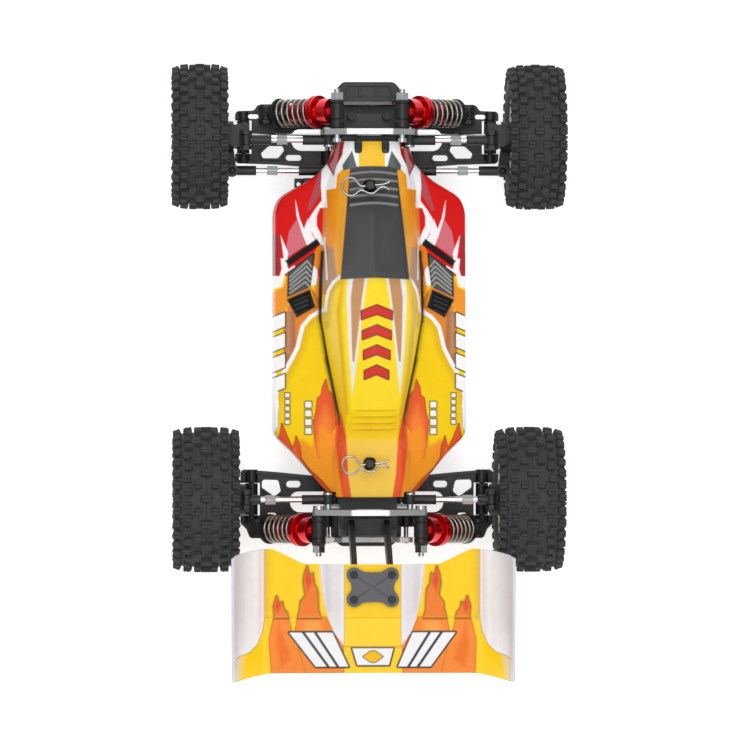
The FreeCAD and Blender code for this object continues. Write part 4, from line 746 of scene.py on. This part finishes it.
def paint_pods(p):
    """Side pods with a white sweep and painted shade beside it, rows of bars and blocks, the louvre, the
    scoop and the grille with a painted highlight on its upper rim.
    """
    curve = [(23.6, 3.6), (29, 0.4), (32.6, -4), (34, -9.5), (35, -14), (38, -20), (41, -25.2), (44, -32),
             (46, -40), (48, -50)]
    p.fill("#f79a2e", [(39, 23), (41.5, 15), (46, 12.5), (52, 12), (52, 3), (44, 1.5), (41.5, 2), (39, 8)])
    p.fill("#e98a34", [(24, 6), (40, 6), (40, -1), *curve[6:2:-1], (30, -1)])
    p.fill("#b37350", [(36.5, 3), (41.6, 3), (41.6, -23), *curve[6:4:-1], (35.8, -12)], soft=1.0)
    p.fill("#c58f62", [(38.4, 2), (40.4, 2), (40.4, -18), (38.2, -17)], soft=2.0)
    p.fill("#ffffff", [(44, -30), (46, -38), (47.4, -50), (52, -50), (52, -28), (45.6, -26)])
    # darker yellow beside the white sweep: painted shade
    p.fill("#d9a520", [(h - 3.2, y - 1.6) for h, y in curve] + curve[::-1], soft=3.5, strength=0.55)
    p.line("#ffffff", curve, 1.9)
    for i in range(4):
        top = 2.6 - 9.8 * i
        p.outlined("#ffffff", [(41.0, top), (47.2, top - 2.4), (47.2, top - 9.2), (41.0, top - 6.6)],
                   "#2c2826", 0.6)
    for h, wide, y0, count in ((29.9, 1.5, -40, 4), (39.8, 1.0, -36, 5)):
        for i in range(count):
            top, tall = y0 - i * (wide * 2 + 1.2), wide * 1.9
            p.outlined("#fffdf5", [(h - wide, top), (h + wide, top), (h + wide, top - tall),
                                   (h - wide, top - tall)], "#2c2420", 0.5)
    p.fill("#ffffff", [(26, 27.5), (28, 23), (29, 15.5), (26.5, 15.5), (25.5, 21)])
    p.fill("#ee8a1a", [(23.5, 35), (25.5, 34), (28, 29.5), (27, 24.5), (25.5, 22.5), (24, 28)])
    p.outlined("#555657", LOUVRE, "#1c1c1c", 0.7)
    for bar in louvre_bars():
        p.line("#a6a6a3", bar, 0.9)
    p.fill("#141414", SCOOP_BAR)
    p.line("#ffffff", [(36.6, 24.6), (39.2, 22.8)], 0.8)
    p.fill("#d5752a", [(29.2, 15.4), (23.9, 8), (26, 4.6), (28, 11)])
    # orange line along the grille's upper rim: painted highlight
    p.line("#f59a3a", GRILLE[:2], 1.8)
    p.fill("#161616", GRILLE)
    for i in range(4):
        p.line("#4a4a4a", [(30 + 0.2 * i, 10.9 - 2.3 * i), (37.4 - 0.6 * i, 7.8 - 2.0 * i)], 0.5)


def paint_rear(p):
    """Orange flames round the back of the shell, and its yellow tail."""
    p.fill("#ffa028", [(13, -56), (26, -54), (28.5, -61), (33, -58), (38, -61), (44, -62), (50, -70),
                       (50, -95), (8, -95)], soft=2)
    upper = [(21.6, -29.5), (23.2, -33), (23.8, -37), (25.6, -38.5), (26.2, -45), (27.6, -50), (26.8, -58),
             (25, -67), (23, -61), (20, -57), (17, -50), (17.2, -43), (18.6, -37), (20.6, -34.5)]
    p.outlined("#ef602c", upper, "#a0481c", 0.4)
    p.fill("#fb8a36", [(19, -49), (22, -42), (25, -50), (25.5, -62), (21, -74), (17, -64)], soft=4)
    p.fill("#ff9c24", [(18, -56), (24, -52), (25.6, -60), (25, -72), (18, -78)], soft=3)
    p.fill("#ee5526", [(14.8, -45), (17.4, -50), (17.2, -60), (15.8, -74), (13, -90), (8, -90), (11, -74),
                       (12, -58)], soft=1.2)
    outer = [(42.4, -50.5), (43.4, -56), (44.5, -58.5), (42, -65), (36, -71.5), (28, -79), (20, -88),
             (16.6, -86), (24, -77.5), (30, -72), (33.4, -67), (34, -61), (35.6, -56.5), (37, -63),
             (39.6, -57.5)]
    p.outlined("#ec5a28", outer, "#a0481c", 0.4)
    p.fill("#f98232", [(41, -60), (38, -66.5), (31, -73), (35, -66), (36.4, -62), (38, -66)], soft=2)
    p.fill("#ffffff", [(45, -30), (50, -30), (50, -62), (46.4, -57), (44, -52), (43.8, -43)])
    p.line("#c9b98a", [(44, -43), (44.2, -52), (46.4, -57)], 0.4)
    p.fill("#ffcf1c", [(-3, -50), (12.4, -50), (11.4, -74), (9.4, -88), (9, -95), (-3, -95)])
    p.fill("#fccd48", [(-3, -58.4), (12.2, -58.4), (11.2, -74), (9.2, -88), (8.8, -95), (-3, -95)])


def paint_roof(p):
    """Roof panel with painted shade at its edges and along the ridges behind it, and a row of red bars."""
    # darker yellow round the roof panel, brighter inside: painted shade at its edges
    p.fill("#e2b414", [(-3, 19), (16.5, 18), (19, 2), (16.6, -24), (14, -46), (-3, -48)], soft=1.0)
    p.fill("#ffdd12", [(-3, 20), (15.2, 18), (16.6, 2), (14.8, -24), (12.6, -46), (-3, -48)], soft=2.2)
    p.fill("#ececec", [(4.1, 20), (13.5, 19), (14.3, 9), (13.2, -14), (11.4, -37), (10.6, -31), (6, 9)])
    p.fill("#c7905c", [(5.4, 20), (11, 19), (12.3, 9), (11.8, -12), (11.4, -21), (10.5, -21), (7, 9)])
    for i in range(4):
        top = 6.5 - 9.4 * i
        wide = 7.2 - 0.5 * i
        p.outlined("#d22a1e", [(-3, top + 0.4), (wide, top - 3.6), (wide, top - 7.6), (-3, top - 4.0)],
                   "#3a1410", 0.5)
    # darker lines along the raised ridges behind the roof: painted shade
    for ridge in RIDGES:
        p.line("#dcae12", [(-3, ridge), (9.5, ridge)], 0.7, strength=0.6)


def shell_colours(grid):
    """Colour of each point of the shell, which is still centred on x 0."""
    x, y, z = np.abs(grid[..., 0]), grid[..., 1], grid[..., 2]
    sides = Paint(x, y, rgb(YELLOW))
    paint_nose(sides)
    paint_cab_sides(sides)
    paint_pods(sides)
    paint_rear(sides)
    roof = Paint(np.abs(grid[..., 0] - ROOF_DX), y, sides.colour)
    paint_roof(roof)
    on_roof = (z > ROOF_Z) & (y < ROOF_END)
    ground = np.where(on_roof[..., None], roof.colour, sides.colour)
    hood = Paint(np.abs(grid[..., 0] - ROOF_DX * 0.5), y, ground)
    paint_hood(hood)
    # Painted shadow in the valley between the cab and the pods: a soft brown band with darker lines along it,
    # fading out up the cab's wall.
    valley_shadow = Paint(x, y, hood.colour)
    valley_shadow.line("#8a5a0c", VALLEY, 2.6, soft=2.4, strength=0.8)
    valley_shadow.line("#33230a", VALLEY, 1.5, soft=0.8)
    valley_shadow.line("#33230a", VALLEY[5:], 2.3, soft=1.4, strength=0.8)
    valley_shadow.line("#1e1a18", VALLEY[:4], 2.0, soft=0.8)
    low = np.clip((VALLEY_TOP - z) / 3, 0, 1)[..., None]
    return hood.colour + (valley_shadow.colour - hood.colour) * low


def body_shell():
    """Painted shell with its relief, and openings for the body posts and the camber links."""
    grid = shell_grid()
    y, z = grid[..., 1], grid[..., 2]
    grid[..., 2] += shell_relief(np.abs(grid[..., 0]), y) * (z > RELIEF_Z)
    colours = shell_colours(grid)
    grid[..., 0] += SHELL_DX
    keep = np.ones(y.shape, bool)
    for post_y in POSTS:
        keep &= np.hypot(grid[..., 0], y - post_y) > POST_HOLE
    for link_x, link_y in LINK_ENDS:
        near = np.abs(y - link_y) < LINK_HALF
        keep &= ~(near & (np.hypot(np.abs(grid[..., 0]) - link_x, z - LINK_Z) < LINK_RADIUS))
    obj = sheet_piece("body_shell_painted", grid, colours, keep, "shell_film", SHELL_SKIN)
    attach(obj, "chassis")
    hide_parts("body_shell")


# ------------------------------------------------------------------ rear wing
WING_TOP = 107.0
WING_SAMPLES = (68, 40, 38)
WING_SKIN = 1.2
SCREW_X = 8.85              # of the wing screws, which lie SCREW_DY before and behind SCREW_Y
SCREW_Y, SCREW_DY = -126.6, 5.8
SCREW_HOLE = 1.3
# Sections across the wing as (x, front edge, two bends, rear edge), each corner a (y, z).
WING_STATIONS = [
    (0.0, (-116, 96.0), (-140, 96.0), (-153.7, 96.4), (-166, 103)),
    (14.3, (-116, 96.0), (-140, 96.0), (-153.7, 96.4), (-166, 103)),
    (22.0, (-116, 88.4), (-140, 88.8), (-153.7, 95.6), (-166, 103)),
    (32.0, (-116, 88.0), (-140, 88.5), (-153.7, 95.6), (-166, 103)),
    (46.5, (-109, 87.6), (-140, 88.5), (-153.7, 95.6), (-166, 103)),
    (50.5, (-109, 88.6), (-140, 89.4), (-153.7, 96.0), (-166.4, 103.2)),
    (55.5, (-109.6, 91.6), (-140, 92.2), (-153.7, 97.6), (-167.6, 103.8)),
    (59.8, (-110.6, 96.6), (-140, 97.0), (-153.7, 100.4), (-169, 104.4)),
    (63.2, (-111.6, 102.0), (-140, 102.2), (-153.7, 103.2), (-170.4, 105.2)),
    (65.2, (-113.0, WING_TOP), (-140, WING_TOP), (-153.7, WING_TOP), (-170.6, WING_TOP)),
]


def wing_grid():
    """Points of the whole wing, in rows across it and columns from front to back."""
    edge = np.concatenate([np.arange(0, 46, STEP), np.arange(46, 62, 0.3), np.arange(62, 65.1, 0.18), [65.2]])
    xs = np.concatenate([-edge[:0:-1], edge])
    full = spread_along(corners_at(WING_STATIONS, np.abs(xs)), WING_SAMPLES)
    full = smoothed(smoothed(full, 1, 4), 0, 5)
    grid = np.zeros((*full.shape[:2], 3))
    grid[..., 0] = xs[:, None]
    grid[..., 1:] = full
    return grid


def paint_blade(p):
    """Orange bands, flame tongues and white bars on the blade."""
    p.fill("#ffd52c", [(-3, -141), (52, -141), (52, -170), (-3, -170)], soft=0.8)
    outer_band = [(46.2, -141), (48.4, -151), (47.3, -168), (29, -168), (36.3, -151), (38, -147.3),
                  (39.4, -141)]
    inner_band = [(34.9, -141), (36.3, -148.7), (31, -168), (14, -168), (14, -152), (18.3, -148.7),
                  (21.9, -141)]
    for band in (outer_band, inner_band):
        p.outlined("#fb8f3a", band, "#e07a28", 0.5)
    p.fill("#f47a2c", [(44, -143), (45.5, -152), (43, -164), (38, -160), (41.4, -150)], soft=2.2)
    p.fill("#fba650", [(31, -143), (33, -148), (24, -148), (25, -143)], soft=2.2)
    tall = [(30.5, -117.2), (31.8, -121), (32.2, -125), (31.3, -130.7), (33.6, -133.9), (33.9, -137.5),
            (34.9, -141.2), (24.2, -141.2), (25.3, -137.4), (25.6, -130), (26, -127.6), (27.3, -125.3),
            (27.9, -120.4), (29.2, -122)]
    short = [(44.8, -131.2), (46.2, -135.7), (45.7, -141.2), (39.4, -141.2), (40, -138.8), (41.6, -137),
             (42.1, -133.9), (43.6, -135)]
    for tongue in (tall, short):
        p.line("#4a2a10", tongue + tongue[:1], 1.5, soft=1.0, strength=0.75)
        p.fill("#f07c20", tongue)
    p.fill("#e0481c", [(30.5, -118), (31.6, -123), (30.4, -129), (28, -124)], soft=2)
    p.fill("#e0481c", [(44.8, -132), (45.8, -136.5), (44, -139), (42.6, -135)], soft=2)
    side_bar = [(39, -148), (18.8, -148), (11.6, -163.5), (26.9, -163.5)]
    middle_bar = [(-3, -155.2), (9.6, -155.2), (7.4, -162.8), (-3, -162.8)]
    for bar in (side_bar, middle_bar):
        p.outlined("#f7f7f8", bar, "#3c3a40", 0.8)
    for shift in (0, 5.6):
        p.line("#3c3a40", [(32.4 - shift, -148), (21.0 - shift * 0.8, -163.5)], 1.2)
    p.outlined("#ffc21a", [(-3, -156.2), (1.2, -156.6), (4.6, -159), (1.2, -161.4), (-3, -161.8)],
               "#3c3a40", 0.4)
    p.line("#e6b010", [(-3, -141), (50, -141)], 0.5, strength=0.6)
    # darker line at the rear end of the raised middle: painted shadow
    p.line("#dca408", [(-3, -154.4), (13, -154.4)], 0.6)


def paint_plates(p):
    """White end plates with painted shade at their fold and over their outer half, and the pale slopes beside
    the raised middle, with painted shade on them and along its edge.
    """
    plate_edge = [(50.6, -141.5), (51.4, -147), (54, -153.4), (57.5, -156.8), (62, -158.4), (64.2, -160)]
    # tan beside the fold between blade and end plate: painted shade
    p.fill("#c9a468", [(48.6, -105), (51, -105), (51, -142), (48.6, -142)], soft=3.0, strength=0.45)
    p.fill("#f6f4f4", [(50.6, -105), (68, -105), (68, -172), (64.2, -172), *plate_edge[::-1]])
    # pink near the fold: painted shade
    p.fill("#e6c9c0", [(51.4, -105), (53.4, -105), (53.6, -150), (51.8, -146)], soft=2.4, strength=0.6)
    # greyer outer half where the plate curves up: painted shade
    p.fill("#dddce6", [(58.5, -105), (68, -105), (68, -172), (63, -172), (61, -150)], soft=5.0, strength=0.8)
    # tan line where the plate meets the blade: painted shade along the fold
    p.line("#c8a058", [(50.6, -108), *plate_edge], 0.4)
    hump = [(13.2, -108), (24.6, -108), (24.2, -118), (22.6, -132), (20.8, -141), (18, -148), (13.4, -154)]
    p.fill("#efeff3", hump)
    # greyer outer part of the slopes: painted shade
    p.fill("#d9d8e2", [(20.5, -108), (25, -108), (24, -124), (21.6, -138), (19.5, -138)], soft=3,
           strength=0.7)
    # tan line along the edge of the raised middle: painted shade
    p.line("#d4a86a", [(13.3, -108), (13.3, -154)], 0.5, strength=0.7)


def rear_wing():
    """Painted wing with holes for its four screws."""
    grid = wing_grid()
    x, y = np.abs(grid[..., 0]), grid[..., 1]
    p = Paint(x, y, rgb("#ffcf00"))
    paint_blade(p)
    paint_plates(p)
    keep = np.ones(x.shape, bool)
    for sx in (-1, 1):
        for sy in (-1, 1):
            keep &= np.hypot(grid[..., 0] - sx * SCREW_X, y - SCREW_Y - sy * SCREW_DY) > SCREW_HOLE
    obj = sheet_piece("rear_wing_painted", grid[::-1], p.colour[::-1], keep[::-1], "wing_film", WING_SKIN)
    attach(obj, "chassis")
    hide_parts("rear_wing")


# ------------------------------------------------------------------ floor, lights and camera
FLOOR_GLOW = 0.6
WORLD_LIGHT = 0.46
# Round lamps as (name, place, size, power), in metres and watts.
LAMPS = [
    ("key", (-0.05, 0.8, 1.6), 1.1, 8.5),
    ("fill", (0.1, -0.7, 1.6), 1.2, 6),
    ("top", (0, 0, 2.2), 1.5, 6.5),
]


def studio():
    """White floor, white surroundings and soft lamps."""
    bpy.ops.mesh.primitive_plane_add(size=12, location=(0, 0, 0))
    floor = bpy.context.object
    floor.name = "floor"
    pale = bpy.data.materials.new("floor")
    pale.use_nodes = True
    shader = pale.node_tree.nodes["Principled BSDF"]
    shader.inputs["Base Color"].default_value = (0.95, 0.95, 0.95, 1)
    shader.inputs["Roughness"].default_value = 0.9
    shader.inputs["Specular IOR Level"].default_value = 0.1
    shader.inputs["Emission Color"].default_value = (1, 1, 1, 1)
    shader.inputs["Emission Strength"].default_value = FLOOR_GLOW
    floor.data.materials.append(pale)
    world = bpy.data.worlds.new("studio")
    world.use_nodes = True
    world.node_tree.nodes["Background"].inputs["Color"].default_value = (1, 1, 1, 1)
    world.node_tree.nodes["Background"].inputs["Strength"].default_value = WORLD_LIGHT
    bpy.context.scene.world = world
    for name, place, size, power in LAMPS:
        light = bpy.data.lights.new(name, "AREA")
        light.shape = "DISK"
        light.size = size
        light.energy = power
        lamp = bpy.data.objects.new(name, light)
        lamp.location = place
        lamp.rotation_euler = (Vector((0, 0, 0.04)) - Vector(place)).to_track_quat("-Z", "Y").to_euler()
        bpy.context.scene.collection.objects.link(lamp)


EYE_X, EYE_Z = -100.0, 2535.0   # the camera's place
VIEW_X, VIEW_Y = 4.56, -28.0    # the point that it looks at
VIEW_WIDTH = 361.9              # of the picture at that point
SENSOR = 36.0


def camera():
    """Long lens high above the car, a little to its left, looking almost straight down at it."""
    place = Vector((EYE_X, VIEW_Y + SHIFT, EYE_Z))
    target = Vector((VIEW_X, VIEW_Y + SHIFT, AXLE_Z))
    away = target - place
    data = bpy.data.cameras.new("camera")
    data.sensor_width = SENSOR
    data.lens = SENSOR * away.length / VIEW_WIDTH
    data.clip_end = 20
    obj = bpy.data.objects.new("camera", data)
    obj.location = place * MM
    obj.rotation_euler = (0, -math.atan2(away.x, -away.z), 0)
    bpy.context.scene.collection.objects.link(obj)
    bpy.context.scene.camera = obj


finish_nodes()
for corner, end in ((FRONT, "front"), (REAR, "rear")):
    for side, hand in ((1, "right"), (-1, "left")):
        tag = f"{end}_{hand}"
        tyre(corner, side, f"{tag}_tyre_tread", f"{tag}_wheel", f"{end}_tyre_{hand}")
        spring(corner, side, f"{tag}_spring")
        shock_sleeve(corner, side, f"{tag}_shock_sleeve", f"{tag}_shock_body")
stud_spacers()
nose_tabs()
body_shell()
rear_wing()
studio()
camera()
bpy.context.scene.view_settings.view_transform = "Standard"
